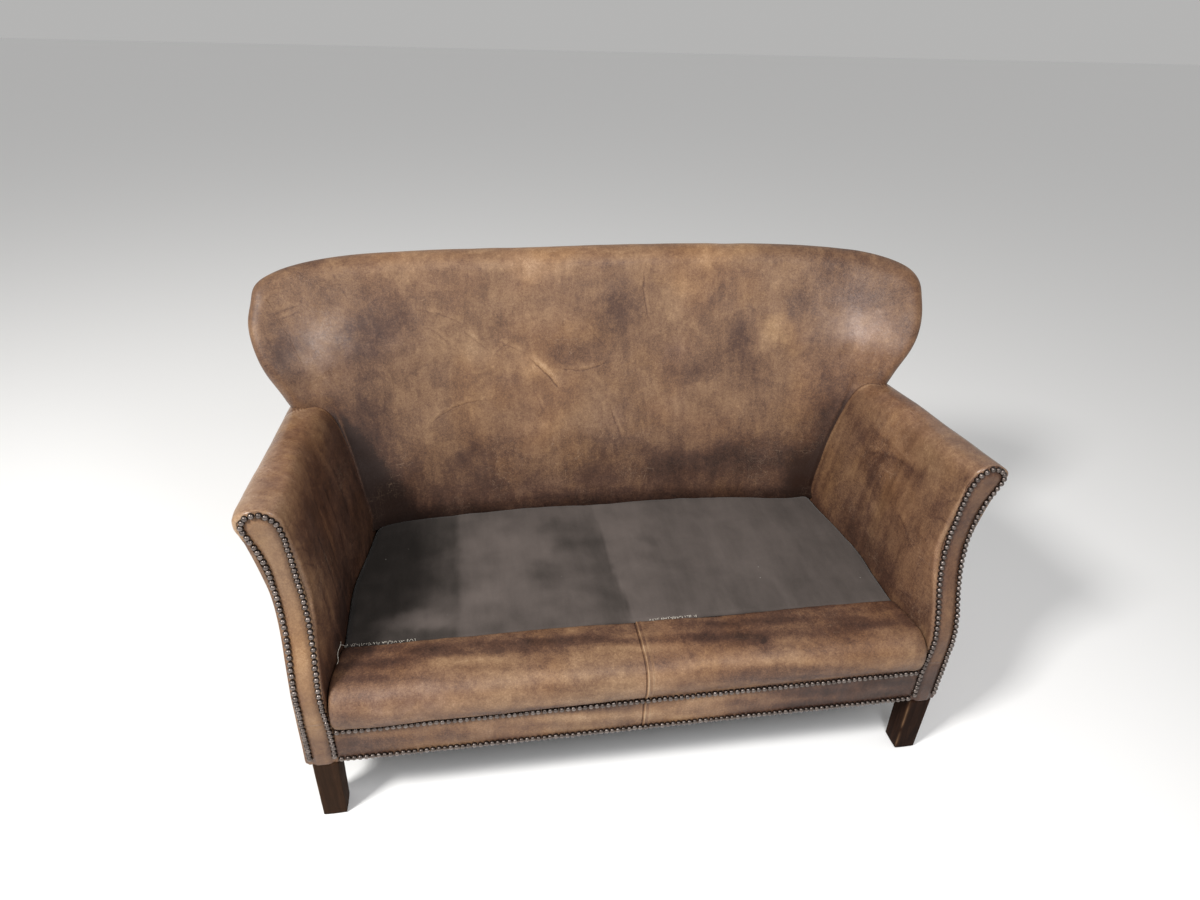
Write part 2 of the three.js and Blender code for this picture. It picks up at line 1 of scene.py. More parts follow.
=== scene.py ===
# %% [markdown]
# # A worn leather sofa
# This lesson dresses a packed construction model of a small two-seat sofa: a wrap-round back, low
# scrolled arms, a padded front roll, a bare cloth deck, rows of dome nails and four short legs. The
# construction gives every size. Here each cover becomes a surface worked out with numpy, and gets a finish
# made of shader nodes. We start by loading the frame.

# %% Load the frame
import itertools
import json
import math

import bpy
import numpy as np
from mathutils import Matrix, Vector


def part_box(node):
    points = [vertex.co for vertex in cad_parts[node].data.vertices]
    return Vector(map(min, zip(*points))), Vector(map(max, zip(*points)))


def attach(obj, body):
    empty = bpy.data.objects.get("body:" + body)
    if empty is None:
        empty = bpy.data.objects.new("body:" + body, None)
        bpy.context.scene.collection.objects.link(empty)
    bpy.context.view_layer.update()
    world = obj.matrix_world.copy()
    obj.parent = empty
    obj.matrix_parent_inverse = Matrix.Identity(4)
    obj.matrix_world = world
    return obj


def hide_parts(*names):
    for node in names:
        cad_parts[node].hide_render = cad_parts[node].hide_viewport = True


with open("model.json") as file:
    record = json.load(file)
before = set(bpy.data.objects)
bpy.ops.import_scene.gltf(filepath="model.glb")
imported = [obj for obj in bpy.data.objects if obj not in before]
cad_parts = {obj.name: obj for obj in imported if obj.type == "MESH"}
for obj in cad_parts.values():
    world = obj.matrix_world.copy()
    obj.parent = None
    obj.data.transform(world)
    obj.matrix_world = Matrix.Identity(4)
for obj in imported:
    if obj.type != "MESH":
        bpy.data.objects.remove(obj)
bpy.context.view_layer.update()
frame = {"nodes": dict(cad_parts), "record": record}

# %% [markdown]
# ## The camera and the light
# The view is from a standing person's height, a little to the left of the middle. A short lens close to the
# sofa gives the strong perspective. The camera's axes come from three turns: yaw, downward pitch and roll.

# %% Camera
CAMERA_PLACE = (-0.3042, -1.4036, 1.4084)
YAW, PITCH, ROLL = (math.radians(a) for a in (9.64, 29.95, 1.77))
FOCAL_SHARE = 0.6435             # focal length as a share of the sensor's width
LENS_SHIFT = (0.01225, 0.0014)   # how far the lens sits off the sensor's middle


def add_camera():
    """A camera whose forward axis is yawed from +Y and pitched down, then rolled about that axis."""
    ahead = Vector((math.sin(YAW), math.cos(YAW), 0))
    forward = ahead * math.cos(PITCH) - Vector((0, 0, math.sin(PITCH)))
    level = Vector((math.cos(YAW), -math.sin(YAW), 0))
    upright = level.cross(forward)
    right = level * math.cos(ROLL) + upright * math.sin(ROLL)
    up = upright * math.cos(ROLL) - level * math.sin(ROLL)
    turn = Matrix((right, up, -forward)).transposed()
    data = bpy.data.cameras.new("camera")
    data.sensor_width = 36
    data.lens = FOCAL_SHARE * data.sensor_width
    data.shift_x, data.shift_y = LENS_SHIFT
    camera = bpy.data.objects.new("camera", data)
    camera.matrix_world = Matrix.Translation(CAMERA_PLACE) @ turn.to_4x4()
    bpy.context.collection.objects.link(camera)
    bpy.context.scene.camera = camera


add_camera()
bpy.context.scene.view_settings.view_transform = "Standard"
print("lens", round(bpy.context.scene.camera.data.lens, 2), "mm")

# %% [markdown]
# The main light stands high on the front left, so the left arm throws a shadow over the end of the deck and
# up the back. A small cool lamp just above the camera gives the pale waxy glints on the hollow insides of the
# two wings. The floor and the world are nearly white. The floor is our first mesh, so the helper that puts
# points, faces and number fields into a mesh object comes first.

# %% Mesh objects
def add_mesh(name, points, faces, material, fields=None, smooth=True):
    """A mesh object from points and faces, with a material and number fields stored at its points."""
    mesh = bpy.data.meshes.new(name)
    mesh.from_pydata(np.reshape(points, (-1, 3)).tolist(), [], faces)
    mesh.polygons.foreach_set("use_smooth", np.full(len(mesh.polygons), smooth))
    for field, values in (fields or {}).items():
        attribute = mesh.attributes.new(field, "FLOAT", "POINT")
        attribute.data.foreach_set("value", values.astype(np.float32))
    mesh.materials.append(material)
    made = bpy.data.objects.new(name, mesh)
    bpy.context.collection.objects.link(made)
    return made

# %% Lights, world and floor
def add_area_light(name, place, target, size, power, colour=(1, 1, 1)):
    """A square lamp at a place, aimed at a target."""
    data = bpy.data.lights.new(name, "AREA")
    data.shape = "RECTANGLE"
    data.size, data.size_y = size
    data.energy = power
    data.color = colour
    lamp = bpy.data.objects.new(name, data)
    lamp.location = place
    lamp.rotation_euler = (Vector(target) - Vector(place)).to_track_quat("-Z", "Y").to_euler()
    bpy.context.collection.objects.link(lamp)


def add_world():
    """An even, nearly white surrounding."""
    world = bpy.data.worlds.new("studio")
    world.use_nodes = True
    background = world.node_tree.nodes["Background"]
    background.inputs["Color"].default_value = (1.0, 0.995, 0.985, 1)
    background.inputs["Strength"].default_value = 0.46
    bpy.context.scene.world = world


def add_floor():
    """A wide pale plane under the sofa."""
    reach = 30
    paint = bpy.data.materials.new("floor_paint")
    paint.use_nodes = True
    shader = paint.node_tree.nodes["Principled BSDF"]
    shader.inputs["Base Color"].default_value = (0.93, 0.93, 0.93, 1)
    shader.inputs["Roughness"].default_value = 0.9
    corners = [(-reach, -reach, 0), (reach, -reach, 0), (reach, reach, 0), (-reach, reach, 0)]
    add_mesh("floor", corners, [(0, 1, 2, 3)], paint, smooth=False)


add_world()
add_floor()
add_area_light("main_light", (-2.46, -1.64, 3.26), (-0.1, 0.0, 0.5), (0.7, 0.7), 162, (1.0, 0.985, 0.955))
add_area_light("glint_light", (0.29, -1.13, 1.63), (0.0, 0.2, 0.75), (0.42, 0.80), 15, (0.98, 0.985, 1.0))

# %% [markdown]
# ## Shape helpers
# The covers share a few formulas with the construction: how the arm fronts sweep back, how the back wraps
# forward, and where the wings end. They are written once here, for whole arrays at a time, in metres.

# %% Ramps and bells
def mix(a, b, t):
    """The value a share t of the way from a to b."""
    return a + (b - a) * t


def ramp(a, b, value):
    """0 below a, 1 above b, and between them three times the square less twice the cube of the share."""
    t = np.clip((value - a) / (b - a), 0, 1)
    return t * t * (3 - 2 * t)


def bell(value, width):
    """A bump of height 1 at zero that has fallen to about a third at the given width."""
    return np.exp(-(value / width) ** 2)


print("a ramp a quarter of the way up", ramp(0, 1, 0.25))

# %% [markdown]
# Places are arrays whose last axis holds the coordinates. Random fields are looked up
# at such places, so they stay the same whatever piece they are used on.

# %% Points and clouds
def joined(*parts):
    """Coordinates, each a number or an array, joined into points along a new last axis."""
    return np.stack(np.broadcast_arrays(*parts), axis=-1)


def unit(vectors):
    """Vectors brought to length one."""
    return vectors / np.maximum(np.linalg.norm(vectors, axis=-1, keepdims=True), 1e-12)


def lattice_noise(points, size, seed):
    """A smooth random field from -1 to 1.

    Random numbers sit on a cubic lattice with cells of the given size. A point takes the blend of its cell's
    eight corners, weighted by an S-curve of its place in the cell.
    """
    table = np.random.default_rng(seed).uniform(-1, 1, (32, 32, 32))
    place = points / size
    cell = np.floor(place).astype(int)
    share = place - cell
    share = share * share * (3 - 2 * share)
    total = 0
    for corner in itertools.product((0, 1), repeat=3):
        weight = np.prod(np.where(corner, share, 1 - share), axis=-1)
        i, j, k = np.moveaxis((cell + corner) % 32, -1, 0)
        total = total + weight * table[i, j, k]
    return total


def streaks(a, b, c, seed):
    """Drawn-out noise: each coordinate has been divided by the length of a streak along it."""
    return lattice_noise(joined(a, b, c), 1.0, seed)


def cloud(points, size, seed, octaves=4):
    """Noise on noise: each layer has half the size and 0.55 times the strength of the one before."""
    strengths = 0.55 ** np.arange(octaves)
    layers = [s * lattice_noise(points + 7.3 * k, size / 2 ** k, seed + k) for k, s in enumerate(strengths)]
    return sum(layers) / strengths.sum() * 1.6

# %% [markdown]
# Profiles and outlines are lines of points. They are walked to space points or nails evenly, read between
# their points, or moved aside to make a parallel line.

# %% Lines of points
def walked_length(line):
    """Distance walked along a line up to each of its points."""
    return np.concatenate([[0], np.cumsum(np.linalg.norm(np.diff(line, axis=0), axis=-1))])


def read_at(line, distances, values):
    """Values given at a line's points, read at distances walked along it."""
    walked = walked_length(line)
    return joined(*(np.interp(distances, walked, part) for part in values.T))


def moved_aside(line, distance):
    """A flat line moved to the right of its own direction by a distance."""
    along = unit(np.gradient(line, axis=0))
    return line + distance * joined(along[:, 1], -along[:, 0])


def smooth_curve(knots, count):
    """Evenly spaced points on the cubic curve through knots, which are stacked as (..., knots, 2 or 3).

    Each span is a Catmull-Rom cubic: it leaves a knot along the line between that knot's neighbours. The
    curve is then walked at equal distances, measured on the mean of all the stacked curves.
    """
    padded = np.concatenate([2 * knots[..., :1, :] - knots[..., 1:2, :], knots,
                             2 * knots[..., -1:, :] - knots[..., -2:-1, :]], axis=-2)
    spans = knots.shape[-2] - 1
    fine = np.linspace(0, spans, spans * 24 + 1)
    span = np.minimum(fine.astype(int), spans - 1)
    t = (fine - span)[:, None]
    a, b, c, d = (np.take(padded, span + k, axis=-2) for k in range(4))
    curve = 0.5 * (2 * b + (c - a) * t + (2 * a - 5 * b + 4 * c - d) * t ** 2
                   + (3 * b - a - 3 * c + d) * t ** 3)
    walked = walked_length(curve.reshape(-1, *curve.shape[-2:]).mean(axis=0))
    at = np.interp(np.linspace(0, walked[-1], count), walked, np.arange(len(walked)))
    low = np.minimum(at.astype(int), len(walked) - 2)
    return mix(np.take(curve, low, axis=-2), np.take(curve, low + 1, axis=-2), (at - low)[:, None])

# %% [markdown]
# The covers' driving places come from the boxes of the construction's nodes: the front plane, the underside,
# the top of the back and its half width. A formula then gives each surface's place from the other two
# coordinates.

# %% Places taken from the frame
FRONT_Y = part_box("front_band")[0][1]
UNDER_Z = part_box("front_band")[0][2]
TOP_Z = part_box("inside_back")[1][2] + 0.001
HALF_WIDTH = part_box("inside_back")[1][0]
SEAM_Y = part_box("seat_roll")[1][1]
BACK_FOOT_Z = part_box("inside_back")[0][2]
WIDEST_Z = 0.845                 # height of the wings' widest point
ARM_TOP_Z = 0.688                # top of the arms at the front
CORNER_POWER = 3.8               # power of the superellipse at the top corners of the back
print("front", round(FRONT_Y, 3), "top", round(TOP_Z, 3), "half width", round(HALF_WIDTH, 3))

# %% Formulas of the arms
def arm_setback(z):
    """How far the arm's front lies behind the front plane: an S-curve of height, less a small lip on top."""
    lip = np.maximum(0, (z - 0.575) / 0.105)
    return 0.069 * ramp(0.303, 0.528, z) - 0.007 * lip ** 2


def arm_inner_x(y, z):
    """Inner face of an arm: two S-curves of depth narrow the seat, and a power of height leans it out."""
    back = y - FRONT_Y
    at_seat = 0.5885 - 0.018 * ramp(0, 0.150, back) - 0.038 * ramp(0.250, 0.520, back)
    return at_seat + (0.030 + 0.056 * back) * np.maximum(0, (z - 0.320) / 0.325) ** 1.45


def arm_outer_x(y, z):
    """Outer face of an arm: upright below, and flared by the square of the height above 0.29."""
    flare = np.maximum(0, (z - 0.290) / 0.380)
    return 0.644 + (0.052 - 0.028 * (y - FRONT_Y)) * flare ** 2


def arm_top_z(y):
    """Top of an arm, falling six parts in a hundred towards the back."""
    return ARM_TOP_Z - 0.06 * (y - FRONT_Y)


print("arm set back at its top", round(float(arm_setback(ARM_TOP_Z)), 4))

# %% [markdown]
# The back reclines, and wraps forward into the wings by a power of the width. Its rear
# face wraps further.

# %% Formulas of the back
def back_inner_y(x, z):
    """Front face of the back: a straight recline, less a wrap that grows as the width to the power 3.3.

    Use has pushed in the lower corners, the right one more widely.
    """
    wrap = 0.143 - 0.065 * ramp(0.720, 0.930, z)
    pushed = 0.018 * bell(x + 0.500, 0.090) * (1 - ramp(0.360, 0.480, z))
    low = 0.022 * (1 - ramp(0.440, 0.640, z)) + 0.013 * (1 - ramp(0.370, 0.470, z))
    pushed = pushed + low * bell(x - 0.555, 0.070)
    return 0.157 + 0.228 * (z - 0.355) - wrap * np.abs(x / 0.700) ** 3.3 + pushed


def back_outer_y(x, z):
    """Rear face of the back: nearly upright, drawn in at the top, and wrapped more than the front face."""
    wrap = 0.150 + 0.045 * ramp(0.150, 0.650, z) - 0.110 * ramp(0.650, 0.950, z)
    drawn_in = 0.020 * ramp(0.740, 0.930, z)
    return 0.330 + 0.052 * np.minimum(1, (z - 0.150) / 0.570) - drawn_in - wrap * np.abs(x / 0.700) ** 3.3


print("back is", round(float(back_outer_y(0, 0.5) - back_inner_y(0, 0.5)), 3), "m thick in the middle")

# %% [markdown]
# Seen from the front, the wings and the top are one outline.
# It is worked out as a fine line first, and then walked evenly.

# %% Outline of the back
def back_outline(count, inset=0.0, foot_z=0.600):
    """Evenly spaced points (x, z) round the wings and the top, from low on the left to low on the right.

    The side swells as a quarter sine to the power 1.3 up to the widest point, and the corner is a
    superellipse, a little rounder on the left. The top dips slightly where the padding has settled. Inset
    moves every point towards the inside, square to the outline.
    """
    rise = np.linspace(foot_z, WIDEST_Z, 60, endpoint=False)
    quarter = np.sin(np.pi / 2 * np.maximum(0, (rise - 0.650) / (WIDEST_Z - 0.650)))
    swell = 0.676 + (HALF_WIDTH - 0.676) * quarter ** 1.3 + 0.15 * np.minimum(0, rise - 0.650)
    turn = np.linspace(0, np.pi / 2, 400)
    corner = joined(HALF_WIDTH * np.cos(turn) ** (2 / CORNER_POWER),
                    WIDEST_Z + (TOP_Z - WIDEST_Z) * np.sin(turn) ** (2 / CORNER_POWER))
    right = np.concatenate([joined(swell, rise), corner])
    whole = np.concatenate([right * (-1, 1), right[-2::-1]])
    whole[:, 0] += 0.008 * bell(whole[:, 1] - 0.874, 0.026) * (whole[:, 0] < 0)
    settled = 0.008 * bell(whole[:, 0], 0.42) + 0.005 * bell(whole[:, 0] + 0.28, 0.22)
    whole[:, 1] -= settled * ramp(0.88, 0.93, whole[:, 1])
    even = np.linspace(0, walked_length(whole)[-1], count)
    return moved_aside(read_at(whole, even, whole), inset)


def deck_z(y):
    """Height of the deck: it rises slightly from the front seam to the back."""
    return 0.330 + 0.025 * (y - SEAM_Y) / 0.406


print("outline", back_outline(5).round(3).tolist())

# %% [markdown]
# ## From a grid of points to a closed mesh
# Nearly every cover is lofted: a row of closed rings, each with the same number of points. Neighbouring rings
# are joined by quads and the two ends are closed by fans, so every piece is a closed solid. Number fields,
# such as how tanned or how rubbed the leather is, are stored at the points as attributes for the shaders.

# %% Lofts
def outward_normals(rings):
    """Unit normals of a grid of rings: the cross product of the steps along and round it.

    They are all turned to point away from the inside of the loft.
    """
    around = np.roll(rings, -1, axis=1) - np.roll(rings, 1, axis=1)
    normals = unit(np.cross(np.gradient(rings, axis=0), around))
    centre = rings.mean(axis=1, keepdims=True)
    return normals if ((rings - centre) * normals).sum() > 0 else -normals


def lofted(name, rings, material, fields=None, sheet=False):
    """A closed mesh object through a grid of rings, (rings, points round, 3), with point attributes.

    The first and last ring are closed by fans to their middle. A sheet's rings hold its outer half and then
    its inner half backwards, so its ends are closed by strips that join each point to its partner.
    """
    count, around = rings.shape[:2]
    index = np.arange(count * around).reshape(count, around)
    nxt = np.roll(index, -1, axis=1)
    points = rings.reshape(-1, 3)
    quads = joined(index[:-1], nxt[:-1], nxt[1:], index[1:]).reshape(-1, 4)
    fans = np.zeros((0, 3), int)
    if sheet:
        k = np.arange(around // 2 - 1)
        strip = joined(k + 1, k, around - 1 - k, around - 2 - k)
        quads = np.concatenate([quads, strip, strip[:, ::-1] + index[-1, 0]])
    else:
        points = np.concatenate([points, rings[[0, -1]].mean(axis=1)])
        fans = np.concatenate([joined(nxt[0], index[0], count * around),
                               joined(index[-1], nxt[-1], count * around + 1)])
    a, b, c, d = (points[quads[:, k]] for k in range(4))
    if (a * np.cross(b, c)).sum() + (a * np.cross(c, d)).sum() < 0:
        quads, fans = quads[:, ::-1], fans[:, ::-1]
    kept = {}
    for field, values in (fields or {}).items():
        grid = np.broadcast_to(values, (count, around))
        ends = [] if sheet else grid[[0, -1]].mean(axis=1)
        kept[field] = np.concatenate([grid.reshape(-1), ends])
    return add_mesh(name, points, quads.tolist() + fans.tolist(), material, kept)

# %% [markdown]
# Walls, evenly eased shares, rolled edges and the record of a piece's place recur
# on nearly every cover.

# %% Walls, shares and edges
def two_walls(outer, inner):
    """Rings of a wall: across its outer grid, and back over its inner grid."""
    return np.concatenate([outer, inner[:, ::-1]], axis=1)


def eased(count):
    """Shares from 0 to 1 that gather a little at both ends."""
    even = np.linspace(0, 1, count)
    return mix(even, (1 - np.cos(np.pi * even)) / 2, 0.6)[:, None]


def gathered(count):
    """Shares from 0 to 1 that gather strongly at both ends, as half a sine wave does."""
    return np.sin(np.linspace(-1, 1, count) * np.pi / 2) / 2 + 0.5


def quarter_fall(gap, radius, depth):
    """How far a rolled edge falls: a quarter circle over the last stretch, stretched to the given depth."""
    share = 1 - np.clip(gap / radius, 0, 1)
    return depth * (1 - np.sqrt(1 - share * share))


def place(piece, slot, *nodes):
    """Rides a piece on the one body and lets it stand for construction nodes.

    The name of its finish, slot, is not used.
    """
    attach(piece, "root")
    if nodes:
        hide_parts(*nodes)
    print(piece.name, len(piece.data.vertices), "points")

# %% [markdown]
# ## Leather
# The hide is pull-up leather: waxed, so it lightens to tan where it is stretched or rubbed, and stays dark
# red-brown elsewhere. Three node groups carry this. The first looks the colour up on a scale of browns, by
# noise at several sizes and the stored fields. The second gives the fine surface: pebbles, wrinkles and faint
# scratches. The third draws creases. The helpers in the next cells build such groups and materials.

# %% Node helpers
def new_group(name, inputs, outputs):
    """An empty shader node group with value, colour or vector sockets, and its two end nodes."""
    group = bpy.data.node_groups.new(name, "ShaderNodeTree")
    kinds = {"value": "NodeSocketFloat", "colour": "NodeSocketColor", "vector": "NodeSocketVector"}
    for socket, (kind, default) in inputs.items():
        made = group.interface.new_socket(socket, in_out="INPUT", socket_type=kinds[kind])
        if default is not None:
            made.default_value = default
    for socket, kind in outputs.items():
        group.interface.new_socket(socket, in_out="OUTPUT", socket_type=kinds[kind])
    return group, group.nodes.new("NodeGroupInput"), group.nodes.new("NodeGroupOutput")


def plug(tree, made, **inputs):
    """Sets a node's inputs, or links those given a socket. _0, _1 and so on are inputs by number."""
    for key, value in inputs.items():
        numbered = key[0] == "_" and key[1:].isdigit()
        socket = made.inputs[int(key[1:]) if numbered else key.replace("_", " ")]
        if isinstance(value, bpy.types.NodeSocket):
            tree.links.new(value, socket)
        else:
            socket.default_value = value


def node(tree, kind, settings=None, **inputs):
    """A node of a kind: settings are its properties, and inputs are numbers or sockets to link from."""
    made = tree.nodes.new(kind)
    for key, value in (settings or {}).items():
        setattr(made, key, value)
    plug(tree, made, **inputs)
    return made


def use_group(tree, group, **inputs):
    """One use of a node group with its own values."""
    return node(tree, "ShaderNodeGroup", {"node_tree": group}, **inputs)

# %% [markdown]
# Most of a material is arithmetic on values and noise. One helper for each kind of node keeps the formulas
# readable.

# %% Maths, noise and colours in nodes
def noise(tree, vector, scale, detail=4.0, roughness=0.55, distortion=0.0):
    """Value of a noise texture at a vector."""
    made = node(tree, "ShaderNodeTexNoise", Vector=vector, Scale=scale, Detail=detail, Roughness=roughness,
                Distortion=distortion)
    return made.outputs["Fac"]


def maths(tree, operation, *values):
    """Result of a maths node on one to three values."""
    numbered = {f"_{i}": value for i, value in enumerate(values)}
    return node(tree, "ShaderNodeMath", {"operation": operation}, **numbered).outputs[0]


def centred_sum(tree, *parts):
    """Sum of values less one half, each times its weight."""
    total = 0.0
    for value, weight in parts:
        total = maths(tree, "MULTIPLY_ADD", maths(tree, "SUBTRACT", value, 0.5), weight, total)
    return total


def remap(tree, value, low, high, to_low=0.0, to_high=1.0):
    """A value moved from one range to another, and kept inside it."""
    made = node(tree, "ShaderNodeMapRange", {"interpolation_type": "SMOOTHSTEP"}, Value=value, _1=low,
                _2=high, _3=to_low, _4=to_high)
    return made.outputs[0]


def blend(tree, share, a, b, mode="MIX"):
    """Colour b over colour a by a share."""
    made = node(tree, "ShaderNodeMix", {"data_type": "RGBA", "blend_type": mode}, _0=share, _6=a, _7=b)
    return made.outputs[2]


def stored(tree, name):
    """A point attribute as a value."""
    return node(tree, "ShaderNodeAttribute", {"attribute_name": name}).outputs["Fac"]


def stretched(tree, vector, scale, turn=(0, 0, 0)):
    """A vector turned and scaled unevenly, so that a texture on it is drawn out."""
    made = node(tree, "ShaderNodeMapping", Vector=vector, Scale=scale, Rotation=turn)
    return made.outputs["Vector"]


def bumped(tree, height, strength, distance):
    """A normal tilted by the slope of a height."""
    made = node(tree, "ShaderNodeBump", Strength=strength, Distance=distance, Height=height)
    return made.outputs["Normal"]

# %% [markdown]
# The hide's colour comes from seven noises, each of its own size and weight, on top of the stored tone. Their
# sum is looked up on a scale of browns, which slow drifts then turn redder, more golden or greyer.

# %% Hide colour
HIDE_BROWNS = [(0.0, (0.026, 0.0118, 0.0078)), (0.25, (0.071, 0.0335, 0.0205)),
               (0.5, (0.160, 0.0860, 0.0465)), (0.70, (0.246, 0.146, 0.0790)), (1.0, (0.405, 0.275, 0.170))]


def colour_scale(tree, value, stops):
    """Colour of a value from 0 to 1 on a scale of stops, each a position and a colour."""
    made = node(tree, "ShaderNodeValToRGB", Fac=value)
    elements = made.color_ramp.elements
    elements[0].position, elements[1].position = stops[0][0], stops[-1][0]
    elements[0].color, elements[1].color = (*stops[0][1], 1), (*stops[-1][1], 1)
    for position, colour in stops[1:-1]:
        elements.new(position).color = (*colour, 1)
    return made.outputs["Color"]


def hide_colour_group():
    """Browns of waxed leather: dark to mid to tan along one tone, with redder and greyer drifts."""
    group, entry, leave = new_group(
        "hide_colour",
        {"Vector": ("vector", None), "Tone": ("value", 0.0), "Bloom": ("value", 0.0),
         "Mottle": ("value", 1.0)},
        {"Color": "colour"})
    vector = entry.outputs["Vector"]
    broad = noise(group, vector, 4.5, 4.0, 0.55, 0.6)
    middle = noise(group, vector, 15.0, 4.0, 0.58, 0.5)
    small = noise(group, vector, 62.0, 4.0, 0.62)
    speckle = noise(group, vector, 210.0, 3.0, 0.65)
    fine = noise(group, vector, 520.0, 2.0, 0.6)
    streak = noise(group, stretched(group, vector, (60, 60, 9), (0.5, 0.35, 0.4)), 1.0, 3.0, 0.6)
    edges = remap(group, noise(group, vector, 11.0, 3.0, 0.55, 1.2), 0.45, 0.55)
    mottling = centred_sum(group, (broad, 1.00), (middle, 0.54), (small, 0.50), (speckle, 0.90),
                           (fine, 1.00), (streak, 0.60), (edges, 0.14))
    level = maths(group, "MULTIPLY_ADD", mottling, entry.outputs["Mottle"], entry.outputs["Tone"])
    on_scale = node(group, "ShaderNodeMapRange", Value=level, _1=-1.0, _2=1.0).outputs[0]
    brown = colour_scale(group, on_scale, HIDE_BROWNS)
    drift = remap(group, noise(group, vector, 3.4, 3.0, 0.5), 0.42, 0.62)
    redder = blend(group, maths(group, "MULTIPLY", drift, 0.45), brown, (0.96, 0.84, 0.80, 1), "MULTIPLY")
    honey = remap(group, noise(group, vector, 7.0, 3.0, 0.5), 0.48, 0.66)
    yellower = blend(group, maths(group, "MULTIPLY", honey, 0.6), redder, (1.05, 1.01, 0.86, 1), "MULTIPLY")
    cloudy = remap(group, noise(group, vector, 24.0, 4.0, 0.6), 0.35, 0.60, 0.3, 1.0)
    bloomed = blend(group, maths(group, "MULTIPLY", entry.outputs["Bloom"], cloudy), yellower,
                    (0.92, 0.95, 1.16, 1), "MULTIPLY")
    group.links.new(bloomed, leave.inputs["Color"])
    return group


HIDE_COLOUR = hide_colour_group()
print("hide colour takes", len(HIDE_COLOUR.nodes), "nodes")

# %% [markdown]
# The hide's surface is a height: pebbles between pores, fine wrinkles, and scratches. A scratch is the thin
# line along which a drawn-out noise crosses its middle value.

# %% Hide surface
def hide_surface_group():
    """Height of the hide: pores between soft pebbles, fine wrinkles and long faint scratches."""
    group, entry, leave = new_group(
        "hide_surface", {"Vector": ("vector", None), "Grain": ("value", 1.0), "Scratch": ("value", 1.0)},
        {"Height": "value", "Marks": "value"})
    vector = entry.outputs["Vector"]
    pebbles = node(group, "ShaderNodeTexVoronoi", {"feature": "DISTANCE_TO_EDGE"}, Vector=vector,
                   Scale=620.0)
    pebble = remap(group, pebbles.outputs["Distance"], 0.0, 0.35)
    wrinkle = noise(group, stretched(group, vector, (1.0, 1.0, 0.45), (0.3, 0.2, 0)), 190.0, 4.0, 0.6)
    lines = None
    for turn, scale in (((0.2, 0.5, 0.9), (55, 6, 55)), ((0.9, -0.6, 0.2), (8, 48, 60)),
                        ((-0.4, 0.8, 1.6), (50, 50, 5))):
        wave = noise(group, stretched(group, vector, scale, turn), 1.0, 2.0, 0.5)
        off_middle = maths(group, "ABSOLUTE", maths(group, "SUBTRACT", wave, 0.5))
        ridge = remap(group, off_middle, 0.0, 0.0045, 1, 0)
        lines = ridge if lines is None else maths(group, "MAXIMUM", lines, ridge)
    where = remap(group, noise(group, vector, 9.0, 2.0, 0.5), 0.52, 0.68)
    scratch = maths(group, "MULTIPLY", maths(group, "MULTIPLY", lines, where), entry.outputs["Scratch"])
    height = maths(group, "MULTIPLY_ADD", wrinkle, 0.9, maths(group, "MULTIPLY", pebble, 0.35))
    height = maths(group, "MULTIPLY", height, entry.outputs["Grain"])
    height = maths(group, "MULTIPLY_ADD", scratch, -0.6, height)
    group.links.new(height, leave.inputs["Height"])
    group.links.new(scratch, leave.inputs["Marks"])
    return group


HIDE_SURFACE = hide_surface_group()
print("hide surface takes", len(HIDE_SURFACE.nodes), "nodes")

# %% [markdown]
# Creases are drawn one after another. Each one adds its mark to a sum that travels along in the unused Y part
# of the vector, so that a long row of them stays one simple chain.

# %% Creases
def crease_group():
    """Adds one bowed crease to the sum of marks, which travels in the Y part of the vector.

    A mapping node turns the place into the crease's own frame: X runs from 0 to 1 along it and Z counts its
    widths across. The dark line lies where the distance from the bow is below one width, and a pale worn
    ridge lies beside it. The bow's height is four times its bend times the share along times the share left.
    """
    group, entry, leave = new_group(
        "crease", {"Vector": ("vector", None), "Start": ("vector", None), "Turn": ("vector", None),
                   "Size": ("vector", None), "Bend": ("value", 0.0), "Strength": ("value", 1.0)},
        {"Vector": "vector"})
    vector = entry.outputs["Vector"]
    own = node(group, "ShaderNodeMapping", {"vector_type": "TEXTURE"}, Vector=vector,
               Location=entry.outputs["Start"], Rotation=entry.outputs["Turn"], Scale=entry.outputs["Size"])
    axes = node(group, "ShaderNodeSeparateXYZ", Vector=own.outputs["Vector"])
    along, across = axes.outputs["X"], axes.outputs["Z"]
    bow = maths(group, "MULTIPLY", along, maths(group, "SUBTRACT", 1.0, along))
    bow = maths(group, "MULTIPLY", maths(group, "MULTIPLY", bow, 4.0), entry.outputs["Bend"])
    off = maths(group, "SUBTRACT", across, bow)
    ends = maths(group, "MULTIPLY", remap(group, along, 0.0, 0.3), remap(group, along, 0.7, 1.0, 1.0, 0.0))
    line = remap(group, maths(group, "ABSOLUTE", off), 0.0, 1.0, 1.0, 0.0)
    beside = remap(group, maths(group, "ABSOLUTE", maths(group, "SUBTRACT", off, 2.6)), 0.0, 2.8, 0.7, 0.0)
    mark = maths(group, "MULTIPLY", maths(group, "SUBTRACT", beside, line), ends)
    mark = maths(group, "MULTIPLY", mark, entry.outputs["Strength"])
    old = node(group, "ShaderNodeSeparateXYZ", Vector=vector)
    joined = node(group, "ShaderNodeCombineXYZ", X=old.outputs["X"], Z=old.outputs["Z"],
                  Y=maths(group, "ADD", old.outputs["Y"], mark))
    group.links.new(joined.outputs["Vector"], leave.inputs["Vector"])
    return group


CREASE = crease_group()
print("a crease takes", len(CREASE.nodes), "nodes")

# %% [markdown]
# Every material starts from its Principled shader and Object coordinates. Before creases are drawn, the
# coordinates are shifted a little by noise, so that no crease is a clean curve.

